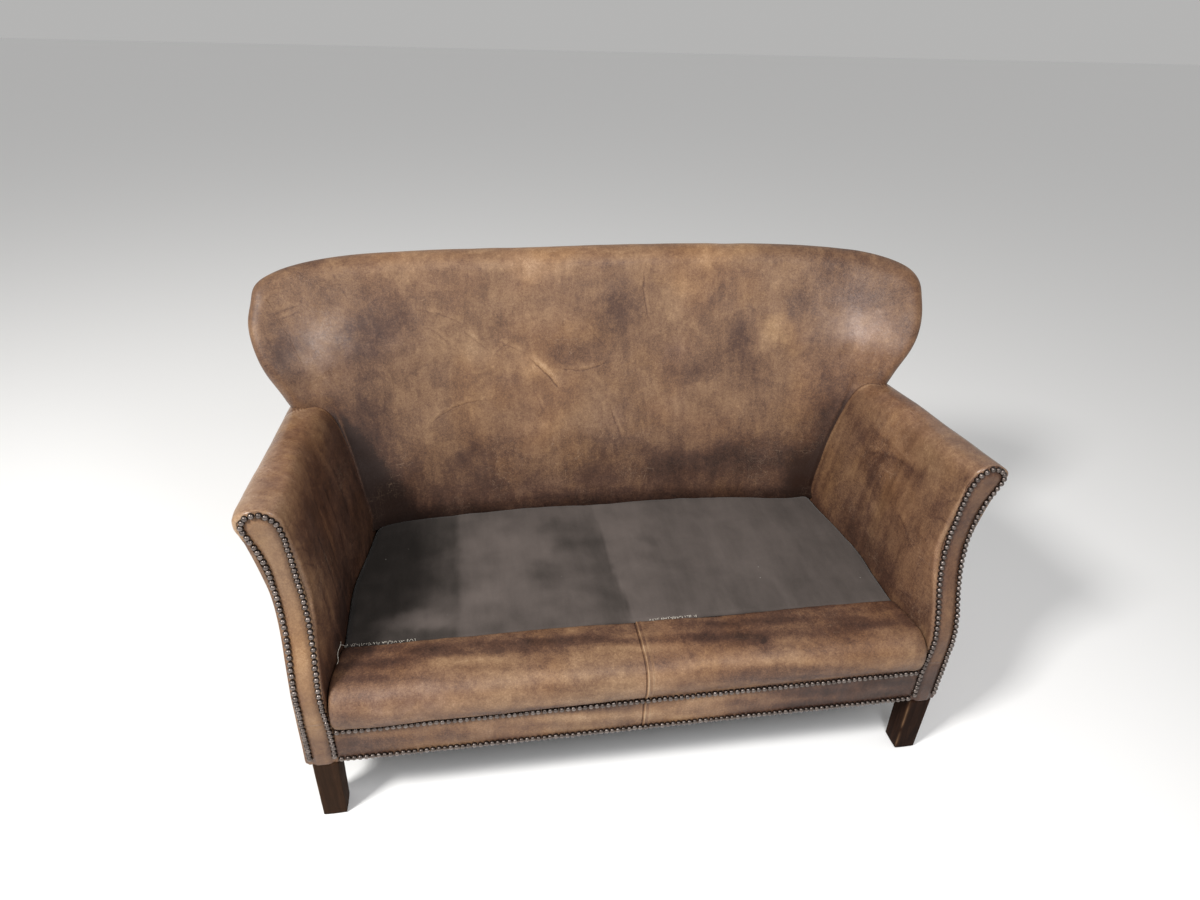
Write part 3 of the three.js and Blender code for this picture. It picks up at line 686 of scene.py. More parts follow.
# %% Start of a material
def new_material(name):
    """A material with node tree, its Principled shader and the Object coordinates."""
    material = bpy.data.materials.new(name)
    material.use_nodes = True
    tree = material.node_tree
    coordinates = tree.nodes.new("ShaderNodeTexCoord").outputs["Object"]
    return material, tree, tree.nodes["Principled BSDF"], coordinates


WOBBLE = 0.008                   # how far the creases wander at most
DEEP_CREASES = 6                 # so many creases of a list shade as relief, from its first on


def bent_places(tree, coordinates, across_depth):
    """Places shifted a little by noise, so that creases wander, with the Y part emptied for their marks.

    On an arm the creases are drawn over depth and height, so the depth moves into the X part first.
    """
    if across_depth:
        axes = node(tree, "ShaderNodeSeparateXYZ", Vector=coordinates)
        coordinates = node(tree, "ShaderNodeCombineXYZ", X=axes.outputs["Y"], Y=axes.outputs["X"],
                           Z=axes.outputs["Z"]).outputs[0]
    wobble = node(tree, "ShaderNodeTexNoise", Vector=coordinates, Scale=55.0, Detail=2.0).outputs["Color"]
    shift = node(tree, "ShaderNodeVectorMath", {"operation": "SCALE"}, _0=wobble, Scale=WOBBLE)
    bent = node(tree, "ShaderNodeVectorMath", {"operation": "ADD"}, _0=coordinates, _1=shift.outputs[0])
    kept = node(tree, "ShaderNodeVectorMath", {"operation": "MULTIPLY"}, _0=bent.outputs[0], _1=(1, 0, 1))
    return kept.outputs[0]


def crease_marks(tree, vector, creases):
    """The vector with marks of creases (x0, z0, x1, z1, bend, width, strength) summed in its Y part.

    A mark is above 0 on the pale ridge of a crease and below 0 in its dark line.
    """
    for x0, z0, x1, z1, bend, width, strength in creases:
        length, angle = math.hypot(x1 - x0, z1 - z0), math.atan2(z1 - z0, x1 - x0)
        start = (x0 + WOBBLE / 2, 0, z0 + WOBBLE / 2)
        crease = use_group(tree, CREASE, Vector=vector, Start=start, Turn=(0, -angle, 0),
                           Size=(length, 1, width), Bend=bend / width, Strength=strength)
        vector = crease.outputs["Vector"]
    return vector

# %% [markdown]
# A leather material joins the groups: the stored fields of tone, bloom and wax steer colour and gloss, and
# each part of the sofa gets its own mottling, grain, scratches and creases. Tone and bloom also carry painted
# shade, highlights and sheen.

# %% Leather material
def leather_material(name, mottle=1.0, grain=1.0, scratch=1.0, lift=0.0, creases=(), across_depth=False):
    """Waxed leather steered by stored fields: tone from dark to tan, which also holds painted shade and
    highlights, a greyish wax bloom, which also holds painted sheen, and wax for gloss.
    """
    material, tree, shader, coordinates = new_material(name)
    tone = maths(tree, "ADD", stored(tree, "tone"), lift)
    wax = stored(tree, "wax")
    smoothed = maths(tree, "MULTIPLY", maths(tree, "MULTIPLY_ADD", wax, -0.65, 1.0), grain)
    surface = use_group(tree, HIDE_SURFACE, Vector=coordinates, Grain=smoothed, Scratch=scratch)
    height = surface.outputs["Height"]
    if creases:
        bent = bent_places(tree, coordinates, across_depth)
        relief = crease_marks(tree, bent, creases[:DEEP_CREASES])
        drawn = crease_marks(tree, relief, creases[DEEP_CREASES:])
        deep, marks = (node(tree, "ShaderNodeSeparateXYZ", Vector=v).outputs["Y"] for v in (relief, drawn))
        tone = maths(tree, "MULTIPLY_ADD", marks, 0.60, tone)
        height = maths(tree, "MULTIPLY_ADD", deep, 1.8, height)
    colour = use_group(tree, HIDE_COLOUR, Vector=coordinates, Tone=tone, Bloom=stored(tree, "bloom"),
                       Mottle=mottle)
    scratched = blend(tree, maths(tree, "MULTIPLY", surface.outputs["Marks"], 0.30), colour.outputs["Color"],
                      (0.42, 0.28, 0.18, 1))
    rough = remap(tree, noise(tree, coordinates, 26.0, 4.0, 0.6), 0.35, 0.68, 0.46, 0.58)
    plug(tree, shader, Base_Color=scratched, Normal=bumped(tree, height, 0.6, 0.0007),
         Roughness=maths(tree, "MULTIPLY_ADD", wax, -0.22, rough), Specular_IOR_Level=0.38)
    return material

# %% [markdown]
# The back carries its own creases: one deep fold left of the middle with a pale worn lip, an arc under it, a
# long upright one on the right, and a scatter of small ones. Each is a start, an end, a bend, a width and a
# strength. The first six are deep enough to shade as relief.

# %% Creases of the back
CREASES = [
    (-0.172, 0.713, -0.088, 0.624, 0.004, 0.0036, 0.8), (-0.106, 0.686, 0.04, 0.705, -0.02, 0.0026, 0.4),
    (0.108, 0.912, 0.122, 0.77, -0.01, 0.0022, 0.43), (0.022, 0.596, 0.058, 0.504, -0.002, 0.0026, 0.43),
    (-0.694, 0.846, -0.638, 0.857, 0.002, 0.0026, 0.43), (-0.42, 0.55, -0.245, 0.617, 0.024, 0.0024, 0.32),
    (-0.386, 0.79, -0.334, 0.744, -0.002, 0.0022, 0.36),
    (-0.415, 0.825, -0.302, 0.783, 0.007, 0.0022, 0.32),
    (-0.32, 0.785, -0.244, 0.722, -0.003, 0.0022, 0.36), (-0.252, 0.7, -0.194, 0.748, 0.008, 0.0022, 0.32),
    (-0.248, 0.752, -0.162, 0.712, 0.002, 0.0022, 0.32),
    (-0.203, 0.516, -0.206, 0.473, -0.003, 0.0022, 0.36), (-0.15, 0.622, -0.131, 0.58, 0, 0.0022, 0.36),
    (-0.034, 0.78, 0.022, 0.718, -0.001, 0.0022, 0.29), (0.091, 0.63, 0.109, 0.503, -0.006, 0.0026, 0.25),
    (-0.686, 0.837, -0.636, 0.846, 0, 0.0022, 0.36), (-0.584, 0.94, -0.564, 0.893, 0, 0.0022, 0.29),
    (-0.558, 0.878, -0.545, 0.856, 0, 0.0026, 0.43), (-0.06, 0.47, -0.048, 0.425, 0.003, 0.0022, 0.32),
]
ARM_CREASES = {
    "left": [
        (-0.190, 0.61, -0.205, 0.35, 0.01, 0.007, 0.4), (-0.105, 0.63, -0.13, 0.40, -0.01, 0.0065, 0.45),
        (-0.050, 0.61, -0.075, 0.39, 0.008, 0.006, 0.4), (0.015, 0.62, -0.01, 0.42, 0.008, 0.007, 0.35),
        (-0.308, 0.606, -0.25, 0.556, 0.006, 0.0034, 0.3),
        (-0.305, 0.572, -0.245, 0.508, 0.008, 0.0034, 0.26), (-0.260, 0.50, -0.275, 0.36, 0.006, 0.006, 0.3)],
    "right": [
        (-0.211, 0.591, 0.051, 0.517, 0.022, 0.006, 0.26), (-0.131, 0.60, 0.061, 0.61, -0.012, 0.007, 0.2),
        (-0.306, 0.612, -0.268, 0.586, 0.003, 0.0034, 0.3), (-0.3, 0.56, -0.262, 0.545, 0.003, 0.0034, 0.26),
        (-0.242, 0.452, -0.160, 0.490, 0.006, 0.004, 0.3), (-0.06, 0.50, -0.085, 0.4, 0.006, 0.006, 0.25)],
}
back_leather = leather_material("back_leather", creases=CREASES)
panel_leather = leather_material("panel_leather", lift=-0.05)
arm_leather = leather_material("arm_leather", lift=0.02)
inside_arm_leather = {
    name: leather_material(f"inside_arm_leather_{name}", creases=lines, across_depth=True)
    for name, lines in ARM_CREASES.items()}
roll_leather = leather_material("roll_leather", scratch=0.5)
facing_leather = leather_material("facing_leather", mottle=0.75, scratch=0.3)
print("leather on", [m.name for m in bpy.data.materials if "leather" in m.name])

# %% [markdown]
# Where the hide is light or dark is given as soft ellipses: each has a place, two half widths, a tilt
# and a strength, above zero for tan and below zero for dark. The ellipses' edges are broken by noise, as dye
# and wax soak in unevenly.

# %% Patches of tone
def patches(across, up, points, spots, seed, ragged=0.035):
    """Sum of soft ellipses over two coordinates, with their edges displaced by noise.

    A spot adds its strength times exp(-r to the power 3), where r is the distance from its middle in half
    widths, after turning by its tilt in degrees.
    """
    across = across + ragged * cloud(points, 0.12, seed)
    up = up + ragged * cloud(points, 0.12, seed + 20)
    total = np.zeros(np.broadcast(across, up).shape)
    for middle_a, middle_u, half_a, half_u, tilt, strength in spots:
        c, s = math.cos(math.radians(tilt)), math.sin(math.radians(tilt))
        a, u = across - middle_a, up - middle_u
        r = np.hypot((a * c + u * s) / half_a, (u * c - a * s) / half_u)
        total = total + strength * np.exp(-r ** 3)
    return total

# %% [markdown]
# ## The inside back
# One hide covers the whole inside back and rolls over the wings and the top. The grid fans out from the foot
# of the back to the outline. Each ring goes up the front face, round the edge as a half ellipse, a little way
# down the rear, and back down inside the padding, so the piece is closed.

# %% Shape of the inside back
BACK_RINGS, FACE_ROWS, EDGE_ROWS = 400, 150, 26
EDGE_INSET = 0.034               # how far from the outline the edge begins to roll
TUCK_INSETS = (0.040, 0.043, 0.040)  # how far from it the hide turns back in behind the edge


def fanned_foot(v, half, z):
    """Points along a foot line for shares v from -1 to 1, gathered at the ends as a power of 1.8."""
    return joined(half * np.sign(v) * (1 - (1 - np.abs(v)) ** 1.8), z)


def back_rings(inner_depth=0.014):
    """Rings of the inside back.

    A ring's face runs from the foot to a point inset from the outline, straight in the middle of the sofa and
    bowed inwards below the wings, where it would cross the outline. Its edge runs through angles from -90 to
    90 degrees: the inset shrinks as one less the cosine, and the depth goes from the front face to the rear
    face as the sine.
    """
    rim = back_outline(BACK_RINGS)
    inward = (back_outline(BACK_RINGS, EDGE_INSET) - rim) / EDGE_INSET
    v = np.linspace(-1, 1, BACK_RINGS)
    foot = fanned_foot(v, 0.598, BACK_FOOT_Z)
    share = np.linspace(0, 1, FACE_ROWS)
    face = mix(foot[:, None], (rim + inward * EDGE_INSET)[:, None], share[:, None])
    below_wing = ramp(0.50, 0.72, np.abs(v)) * np.sign(v)
    face[..., 0] -= 0.018 * np.sin(np.pi * share ** 2) * below_wing[:, None]
    angle = np.linspace(-np.pi / 2, np.pi / 2, EDGE_ROWS)[1:]
    edge = rim[:, None] + inward[:, None] * (EDGE_INSET * (1 - np.cos(angle)))[:, None]
    tuck = rim[:, None] + inward[:, None] * np.array(TUCK_INSETS)[:, None]
    inner = face[:, ::-15]
    plan = np.concatenate([face, edge, tuck, inner], axis=1)
    x, z = plan[..., 0], plan[..., 1]
    front, rear = back_inner_y(x, z), back_outer_y(x, z)
    lean = np.concatenate([np.full(FACE_ROWS, -1.0), np.sin(angle), [1.0, 0.9, 0.6],
                           np.full(inner.shape[1], -1.0)])
    y = (front + rear) / 2 + lean * (rear - front) / 2
    wall = np.minimum(inner_depth, 0.3 * (rear - front))
    y[:, -inner.shape[1]:] = (front + wall)[:, -inner.shape[1]:]
    return joined(x, y, z)

# %% [markdown]
# So far the back is a hard shell. Moving its points along their normals presses it in
# where it is tucked away, and swells it where the padding is full.

# %% Softening of the inside back
def soften_back(rings):
    """Presses and swells the padding along its normals.

    It sinks where it is tucked behind the deck and the arms, is a little full in the middle, and has slow
    uneven swells of a millimetre or two.
    """
    x, y, z = np.moveaxis(rings, -1, 0)
    visible = np.zeros(rings.shape[1])
    visible[:FACE_ROWS + EDGE_ROWS] = 1
    swell = 0.0035 * cloud(rings, 0.30, 3, 2) + 0.0012 * cloud(rings, 0.09, 9, 2)
    belly = 0.010 * bell(z - 0.52, 0.16) * (1 - (x / 0.75) ** 2)
    foot_tuck = -0.016 * np.exp(-(z - BACK_FOOT_Z) / 0.018)
    below_arm_top = 1 - ramp(arm_top_z(y) - 0.01, arm_top_z(y) + 0.02, z)
    arm_tuck = -0.002 * ramp(-0.008, 0.002, np.abs(x) - arm_inner_x(y, z)) * below_arm_top
    lift = (swell + belly + foot_tuck + arm_tuck) * visible
    return rings + outward_normals(rings) * lift[..., None]


rings = soften_back(back_rings())
print("inside back", rings.shape[0], "rings of", rings.shape[1], "points")

# %% [markdown]
# The back's tone adds up spots, a darker bottom, ends and lower right, painted shade in the crevice at the
# deck, the painted shadow of the left arm over the lower left corner, painted shade beside the arms with a
# painted highlight line on the left, a lighter rim, and painted glints on the hollows of the wings.

# %% Inside back
BACK_SPOTS = [
    (-0.668, 0.790, 0.042, 0.045, 0, -0.30), (-0.495, 0.775, 0.072, 0.062, -10, -0.26),
    (-0.06, 0.712, 0.060, 0.032, -10, -0.26), (0.04, 0.815, 0.045, 0.085, -6, -0.24),
    (0.34, 0.720, 0.045, 0.090, 14, -0.24), (0.46, 0.825, 0.040, 0.045, 0, -0.20),
    (-0.52, 0.630, 0.050, 0.090, 0, -0.20), (0.53, 0.600, 0.050, 0.130, 0, -0.26),
    (0.20, 0.655, 0.060, 0.040, 0, -0.18), (-0.28, 0.505, 0.090, 0.022, 4, -0.24),
    (0.34, 0.450, 0.230, 0.055, 3, -0.30), (0.14, 0.455, 0.060, 0.040, 0, -0.14),
    (0.52, 0.450, 0.070, 0.090, 0, -0.24), (-0.06, 0.395, 0.160, 0.022, 4, 0.16),
    (-0.175, 0.920, 0.150, 0.026, 0, 0.22), (0.29, 0.922, 0.080, 0.026, 0, 0.26),
    (-0.145, 0.700, 0.045, 0.028, -35, 0.30), (0.400, 0.755, 0.032, 0.050, 10, 0.28),
    (-0.30, 0.720, 0.140, 0.045, -8, 0.20), (-0.28, 0.590, 0.110, 0.040, 10, 0.16),
    (-0.05, 0.565, 0.120, 0.045, 0, 0.16), (0.165, 0.830, 0.050, 0.060, 0, 0.18),
    (0.26, 0.590, 0.100, 0.045, 0, 0.16), (0.42, 0.900, 0.080, 0.030, 0, 0.16),
    # The last two spots, pale on the hollows of the wings, are painted highlights.
    (-0.66, 0.730, 0.050, 0.070, 0, 0.14), (0.62, 0.760, 0.050, 0.090, 0, 0.10),
]
BLOOM_SPOTS = [(-0.50, 0.780, 0.100, 0.070, 0, 0.5), (-0.02, 0.700, 0.080, 0.050, 0, 0.5),
               (0.10, 0.560, 0.140, 0.060, 0, 0.4), (-0.10, 0.390, 0.300, 0.040, 0, 0.5),
               (0.60, 0.800, 0.080, 0.100, 0, 0.5), (0.16, 0.690, 0.040, 0.040, 0, 0.7)]
x, y, z = np.moveaxis(rings, -1, 0)
wander = 0.020 * cloud(rings, 0.14, 41)
low_band = 1 - ramp(0.400, 0.560, z + wander)
# Painted shadow of the left arm over the lower left corner of the back.
left_corner_painted_shadow = ramp(0.36, 0.54, wander - x - 0.30 * (z - 0.50)) * (1 - ramp(0.56, 0.72, z + wander))
from_arm = arm_inner_x(y, z) - np.abs(x)
below = 1 - ramp(0.600, 0.650, z)
# Painted shadow of the left arm beside it: a wedge that widens downwards, as the arm's cast shadow does.
wedge = 0.012 + 0.36 * np.maximum(0, 0.650 - z)
left_painted_shadow = 0.70 * (1 - ramp(0.45, 1.20, (from_arm + 0.4 * wander) / wedge)) * (x < 0)
# Painted shade beside the right arm, with a dark line of painted shade in the junction.
right_painted_shade = 0.32 * (1 - ramp(0.0, 0.060, from_arm)) * (x > 0) + 0.6 * bell(from_arm, 0.0045) * (x > 0)
# A thin painted highlight line on the back, right beside the left arm.
painted_edge_highlight = 1.1 * bell(from_arm - 0.0015, 0.0032) * (x < 0)
# All the painted shade beside the arms, less the painted highlight line, kept below the arm tops.
painted_shade_beside_arm = (left_painted_shadow + right_painted_shade - painted_edge_highlight) * below
# Painted shade in the crevice at the deck.
painted_crevice_shade = bell(z - deck_z(y) - 0.004, 0.020)
tone = 1.25 * patches(x, z, rings, BACK_SPOTS, 40) - 0.42 * low_band - 0.42 * left_corner_painted_shadow - 0.04
tone = tone - 0.34 * painted_crevice_shade - painted_shade_beside_arm - 0.19 * ramp(0.46, 0.62, np.abs(x))
tone = tone - 0.12 * ramp(0.34, 0.50, x) * (1 - ramp(0.50, 0.64, z))
# The rolled rim is a little lighter and glossier.
rim_band = bell(np.minimum(HALF_WIDTH - np.abs(x), TOP_Z - z), 0.02)
hollow = bell(np.abs(x) - 0.605, 0.080) * bell(z - 0.750, 0.120)
# Painted glints on the hollows of the wings, lighter and cooler where the glint light is reflected.
painted_wing_glint = bell(np.abs(x) - 0.605, 0.050) * np.where(x < 0, bell(z - 0.730, 0.085), bell(z - 0.765, 0.060))
tone = tone + 0.15 * rim_band + 0.40 * painted_wing_glint
bloom = patches(x, z, rings, BLOOM_SPOTS, 44) + 0.7 * painted_wing_glint
# The painted shadow on the left is also given less gloss.
wax = np.maximum(hollow, 0.5 * rim_band) - 0.8 * left_painted_shadow * below
inside_back = lofted("inside_back_cover", rings, back_leather, {"tone": tone, "bloom": bloom, "wax": wax})
place(inside_back, "brown_leather", "inside_back")

# %% [markdown]
# ## The outside back
# A single plainer hide closes the rear. It is stretched over the frame, so it follows the rear face exactly
# and ends just inside the rolled edge, where it is blind-stitched down.

# %% Outside back
PANEL_RINGS, PANEL_ROWS = 240, 70


def outside_back_rings(thickness=0.005):
    """Rings of the rear panel: rulings from the underside to just inside the rolled edge, out and back in.

    Its edges fall in as quarter circles, and the field of the panel is stretched a little full.
    """
    top_edge = back_outline(PANEL_RINGS, 0.0385, foot_z=0.622)
    v = np.linspace(-1, 1, PANEL_RINGS)
    foot = fanned_foot(v, 0.637, UNDER_Z)
    share = gathered(PANEL_ROWS)
    plan = mix(foot[:, None], top_edge[:, None], share[:, None])
    x, z = plan[..., 0], plan[..., 1]
    points = joined(x, back_outer_y(x, z), z)
    from_edge = np.minimum(np.minimum(share, 1 - share) * 0.75, (1 - np.abs(v))[:, None] * 0.45)
    full = 0.0030 * np.sin(np.pi * share) + 0.0020 * cloud(points, 0.22, 13, 3)
    lift = (full - quarter_fall(from_edge, 0.006, 0.0035))[..., None] * (0, 1, 0)
    return two_walls(points + lift, points - (0, thickness, 0))


rings = outside_back_rings()
x, y, z = np.moveaxis(rings, -1, 0)
REAR_SPOTS = [(-0.35, 0.75, 0.20, 0.12, 10, 0.16), (0.30, 0.60, 0.22, 0.15, -15, -0.22),
              (0.05, 0.85, 0.30, 0.06, 0, -0.15), (-0.20, 0.35, 0.25, 0.12, 20, -0.22),
              (0.40, 0.30, 0.18, 0.10, 0, 0.14), (-0.50, 0.50, 0.12, 0.18, 0, 0.12)]
tone = patches(x, z, rings, REAR_SPOTS, 60) - 0.1
outside_back = lofted("outside_back_cover", rings, panel_leather, {"tone": tone}, sheet=True)
place(outside_back, "brown_leather", "outside_back")

# %% [markdown]
# ## The arms
# The inside of an arm, its rounded top and its outer scroll are one hide. Its section is a smooth curve
# through listed knots, swept from the front to the back: the front end follows the S-shape of the arm's
# front and the rear end follows the curve of the back. The scroll's outer part runs on to the rear corner.

# %% Section of an arm
ARM_RINGS, ARM_ROUND = 160, 132
SCROLL_DROP = 0.056              # the outside panel ends this far below the top, under the scroll
SIDES = {"left": -1, "right": 1}
BULGE = {"left": 0.006, "right": 0.002}  # how much fuller each scroll is than its frame


def arm_section(y, bulge):
    """Knots (x, z) of the arm's section at a depth: inner face, rounded top, scroll, and in under it."""
    full = bulge * ramp(0, 0.060, y - FRONT_Y - 0.02)
    top = arm_top_z(y) + 0.002 + 0.5 * full
    wider = 1 + 0.6 * ramp(0.15, 0.48, y - FRONT_Y)
    deeper = 1 + 1.3 * ramp(0.12, 0.48, y - FRONT_Y)
    inner = arm_inner_x(y, top - 0.026)
    outer = arm_outer_x(y, 0.670) + full
    shoulder, chest = top - 0.058 * deeper, top - 0.028 * deeper
    heights = [0.245, 0.320, 0.395, mix(0.395, shoulder, 0.5), shoulder]
    knots = [(arm_inner_x(y, h), h) for h in heights]
    knots += [(arm_inner_x(y, chest) + 0.003 * (deeper - 1) - 0.001, chest),
              (inner + 0.006 * wider, top - 0.011 * deeper), (inner + 0.020 * wider, top - 0.0015 * deeper),
              (mix(inner, outer, 0.60), top + 0.0005), (outer - 0.016, top - 0.005),
              (outer - 0.003, top - 0.016), (outer - 0.0005, top - 0.028),
              (outer - 0.005 + 0.6 * bulge, top - 0.040), (outer - 0.011 + 0.9 * bulge, top - 0.051),
              (arm_outer_x(y, top - 0.064) + 0.0005 + 0.7 * bulge, top - 0.064)]
    return np.stack([joined(*knot) for knot in knots], axis=-2)


print("an arm cover has", ARM_RINGS, "rings of", 2 * ARM_ROUND, "points")

# %% [markdown]
# The section is swept from front to rear. Both ends depend on the place, so the depth is
# settled in a few rounds. Then folds, pulls and rolled ends are added along the normals.

# %% Shape of the arm covers
def arm_grid(bulge):
    """Outer surface of an arm cover on the +X side, with its front and rear limits in y.

    Each point of the section keeps its place in x and z while its depth goes from front to rear. The section
    is worked out again, three times over, at the depth that the point really has.
    """
    v = eased(ARM_RINGS)
    y = np.broadcast_to(mix(FRONT_Y + 0.03, 0.120, v), (ARM_RINGS, ARM_ROUND))
    for _ in range(3):
        middle = y.mean(axis=1)
        x, z = np.moveaxis(smooth_curve(arm_section(middle, bulge), ARM_ROUND), -1, 0)
        front = FRONT_Y + arm_setback(z) + 0.0005
        rear = mix(back_inner_y(x, z) + 0.010, back_outer_y(x, z) - 0.003, ramp(0.640, 0.676, x))
        y = mix(front, rear, v)
    on_inner_face = 1 - ramp(0.50, 0.66, np.linspace(0, 1, ARM_ROUND))
    x = x + (arm_inner_x(y, z) - arm_inner_x(middle[:, None], z)) * on_inner_face
    return joined(x, y, z), front, rear


def arm_rings(bulge, seed, thickness=0.0085):
    """Rings of an arm cover: the outer surface with its folds and rolled ends, then an inner wall.

    Long upright folds cross the inner face, and short pull folds fan out from the row of nails in front.
    """
    grid, front, rear = arm_grid(bulge)
    x, y, z = np.moveaxis(grid, -1, 0)
    normals = unit(np.cross(np.gradient(grid, axis=0), np.gradient(grid, axis=1)))
    if normals[ARM_RINGS // 2, 10, 0] > 0:
        normals = -normals
    folds = streaks(y / 0.030, z / 0.35, x, seed)
    pulls = streaks((y - front) / 0.09, z / 0.013 + y / 0.05, x, seed + 1)
    inside = np.arange(ARM_ROUND) < ARM_ROUND * 0.62
    lift = (0.0018 * folds * ramp(0.32, 0.42, z) * inside
            + 0.0012 * pulls * bell(y - front - 0.018, 0.020) * ramp(0.40, 0.50, z) * inside
            + 0.0018 * cloud(grid, 0.16, seed + 2, 3)
            - quarter_fall(y - front, 0.008, 0.007)
            - quarter_fall(rear - y, 0.012, 0.003) * (1 - 0.5 * ramp(0.655, 0.680, x)))
    return two_walls(grid + normals * lift[..., None], grid - normals * thickness)

# %% [markdown]
# The two arms differ: the left one is streaked inside, with painted shade on its inner face, which faces
# away from the main light, and a painted highlight along its outer top; the right one is lighter with soft
# dark clouds. Places are given as depth and distance round the section.

# %% Arm covers
ARM_SPOTS = {
    "left": [(-0.30, 0.66, 0.07, 0.05, 0, 0.26), (-0.10, 0.67, 0.10, 0.03, 0, 0.12),
             (-0.20, 0.52, 0.10, 0.09, 20, -0.28), (-0.27, 0.45, 0.03, 0.12, 8, 0.10),
             (-0.02, 0.50, 0.12, 0.16, 0, -0.42), (-0.16, 0.40, 0.08, 0.10, 0, -0.32),
             (-0.26, 0.31, 0.10, 0.06, 0, -0.28)],
    "right": [(0.030, 0.590, 0.060, 0.045, 0, -0.22), (-0.040, 0.592, 0.060, 0.030, -10, -0.22),
              (-0.130, 0.596, 0.040, 0.018, -10, -0.16), (-0.165, 0.655, 0.070, 0.030, 0, 0.16),
              (-0.050, 0.645, 0.050, 0.022, 0, 0.10), (-0.155, 0.535, 0.060, 0.035, 20, 0.16),
              (-0.030, 0.510, 0.040, 0.050, 0, -0.22), (-0.090, 0.480, 0.030, 0.060, -20, 0.12),
              (-0.290, 0.440, 0.040, 0.060, 0, -0.18), (-0.050, 0.400, 0.060, 0.040, 0, -0.26),
              (-0.130, 0.345, 0.110, 0.035, 0, -0.26), (0.080, 0.425, 0.020, 0.050, 0, 0.12),
              (-0.240, 0.520, 0.040, 0.040, 0, 0.08)]}
for seed, (name, side) in enumerate(SIDES.items()):
    rings = arm_rings(BULGE[name], 70 + 5 * seed)
    x, y, z = np.moveaxis(rings, -1, 0)
    rear = back_inner_y(x, z)
    # Pale edges: worn at the front by the nails, and a painted highlight line at the rear by the back.
    worn_and_lit_edge = 1.6 * bell(rear - y - 0.009, 0.005) + bell(y - FRONT_Y - arm_setback(z) - 0.003, 0.004)
    # Painted shade in the junction with the back.
    painted_junction_shade = bell(rear - y, 0.004)
    crest = bell(z - arm_top_z(y), 0.025)
    inside = 1 - ramp(0.600, 0.660, z)
    # The crest is painted a little lighter: a painted sheen along the arm's top.
    tone = patches(y, z, rings, ARM_SPOTS[name], 80 + seed) + 0.12 * crest
    tone = tone + 0.20 * worn_and_lit_edge - 0.6 * painted_junction_shade
    tone = tone + 0.20 * streaks(y / 0.020, z / 0.14, x, 86 + seed) * (1 - crest)
    # Painted shade low on the inner face by the deck, and at the rear beside the back.
    tone = tone - 0.24 * (bell(z - 0.345, 0.045) + bell(rear - y, 0.045) * inside)
    if name == "right":
        tone = tone - 0.10
    else:
        # Painted highlight along the outer top of the left arm, which faces the main light.
        painted_top_highlight = bell(x - 0.690, 0.026) * ramp(0.600, 0.640, z) * (1 - ramp(0.05, 0.20, y))
        # Painted shade over the left arm's inner face, which faces away from the main light.
        tone = tone - 0.26 * inside + 0.34 * painted_top_highlight
    # A painted cool sheen along the outer crest.
    bloom = 0.8 * crest * bell(x - 0.66, 0.05)
    cover = lofted(f"inside_arm_cover_{name}", rings * (side, 1, 1), inside_arm_leather[name],
                   {"tone": tone, "bloom": bloom, "wax": np.minimum(crest + 0.5 * worn_and_lit_edge, 1)}, sheet=True)
    place(cover, "brown_leather", f"inside_arm_{name}")

# %% [markdown]
# The outside of an arm is a flat hide over card, from the front round to the rear corner. Its outer face
# follows the arm's flare, and it is slightly full between its rounded edges.

# %% Outside arms
def outside_arm_rings(bulge, count=110, rows=70, thickness=0.005):
    """Rings of an outside arm panel on the +X side, from the front to the rear corner."""
    v = eased(count)
    low = gathered(rows)[None]
    y = mix(FRONT_Y, 0.2, v)
    for _ in range(3):
        z = mix(UNDER_Z, arm_top_z(y) - SCROLL_DROP + 0.003, low)
        x = arm_outer_x(y, z)
        front, rear = FRONT_Y + arm_setback(z) + 0.001, back_outer_y(x, z) - 0.001
        y = mix(front, rear, v)
    points = joined(x, y, z)
    gap = np.minimum(np.minimum(y - front, rear - y), np.minimum(low, 1 - low) * 0.48)
    stand = 0.75 * bulge
    full = 0.0020 * np.sin(np.pi * v) * np.sin(np.pi * low) + 0.0014 * cloud(points, 0.20, 91, 3) + stand
    outer = points + (full - quarter_fall(gap, 0.007, 0.0042 + stand))[..., None] * (1, 0, 0)
    return two_walls(outer, points - (thickness, 0, 0))


OUTER_SPOTS = [(-0.20, 0.45, 0.12, 0.12, 0, -0.20), (0.02, 0.35, 0.14, 0.10, 15, 0.18),
               (-0.25, 0.25, 0.10, 0.06, 0, 0.15), (0.10, 0.50, 0.08, 0.10, 0, -0.18)]
for name, side in SIDES.items():
    rings = outside_arm_rings(BULGE[name])
    x, y, z = np.moveaxis(rings, -1, 0)
    tone = patches(y, z, rings, OUTER_SPOTS, 100 + side)
    panel = lofted(f"outside_arm_cover_{name}", rings * (side, 1, 1), arm_leather, {"tone": tone},
                   sheet=True)
    place(panel, "brown_leather", f"outside_arm_{name}")

# %% [markdown]
# ## The arm fronts
# Each arm front is a long padded facing inside a row of nails that runs up its inner edge, over the scroll
# and down the outer edge. The line of the nails is one smooth curve through listed knots, and the
# facing's own edge lies a nail's radius outside it. The distance to that edge decides the rounding, the
# valley under the nails and the crown of padding between them.

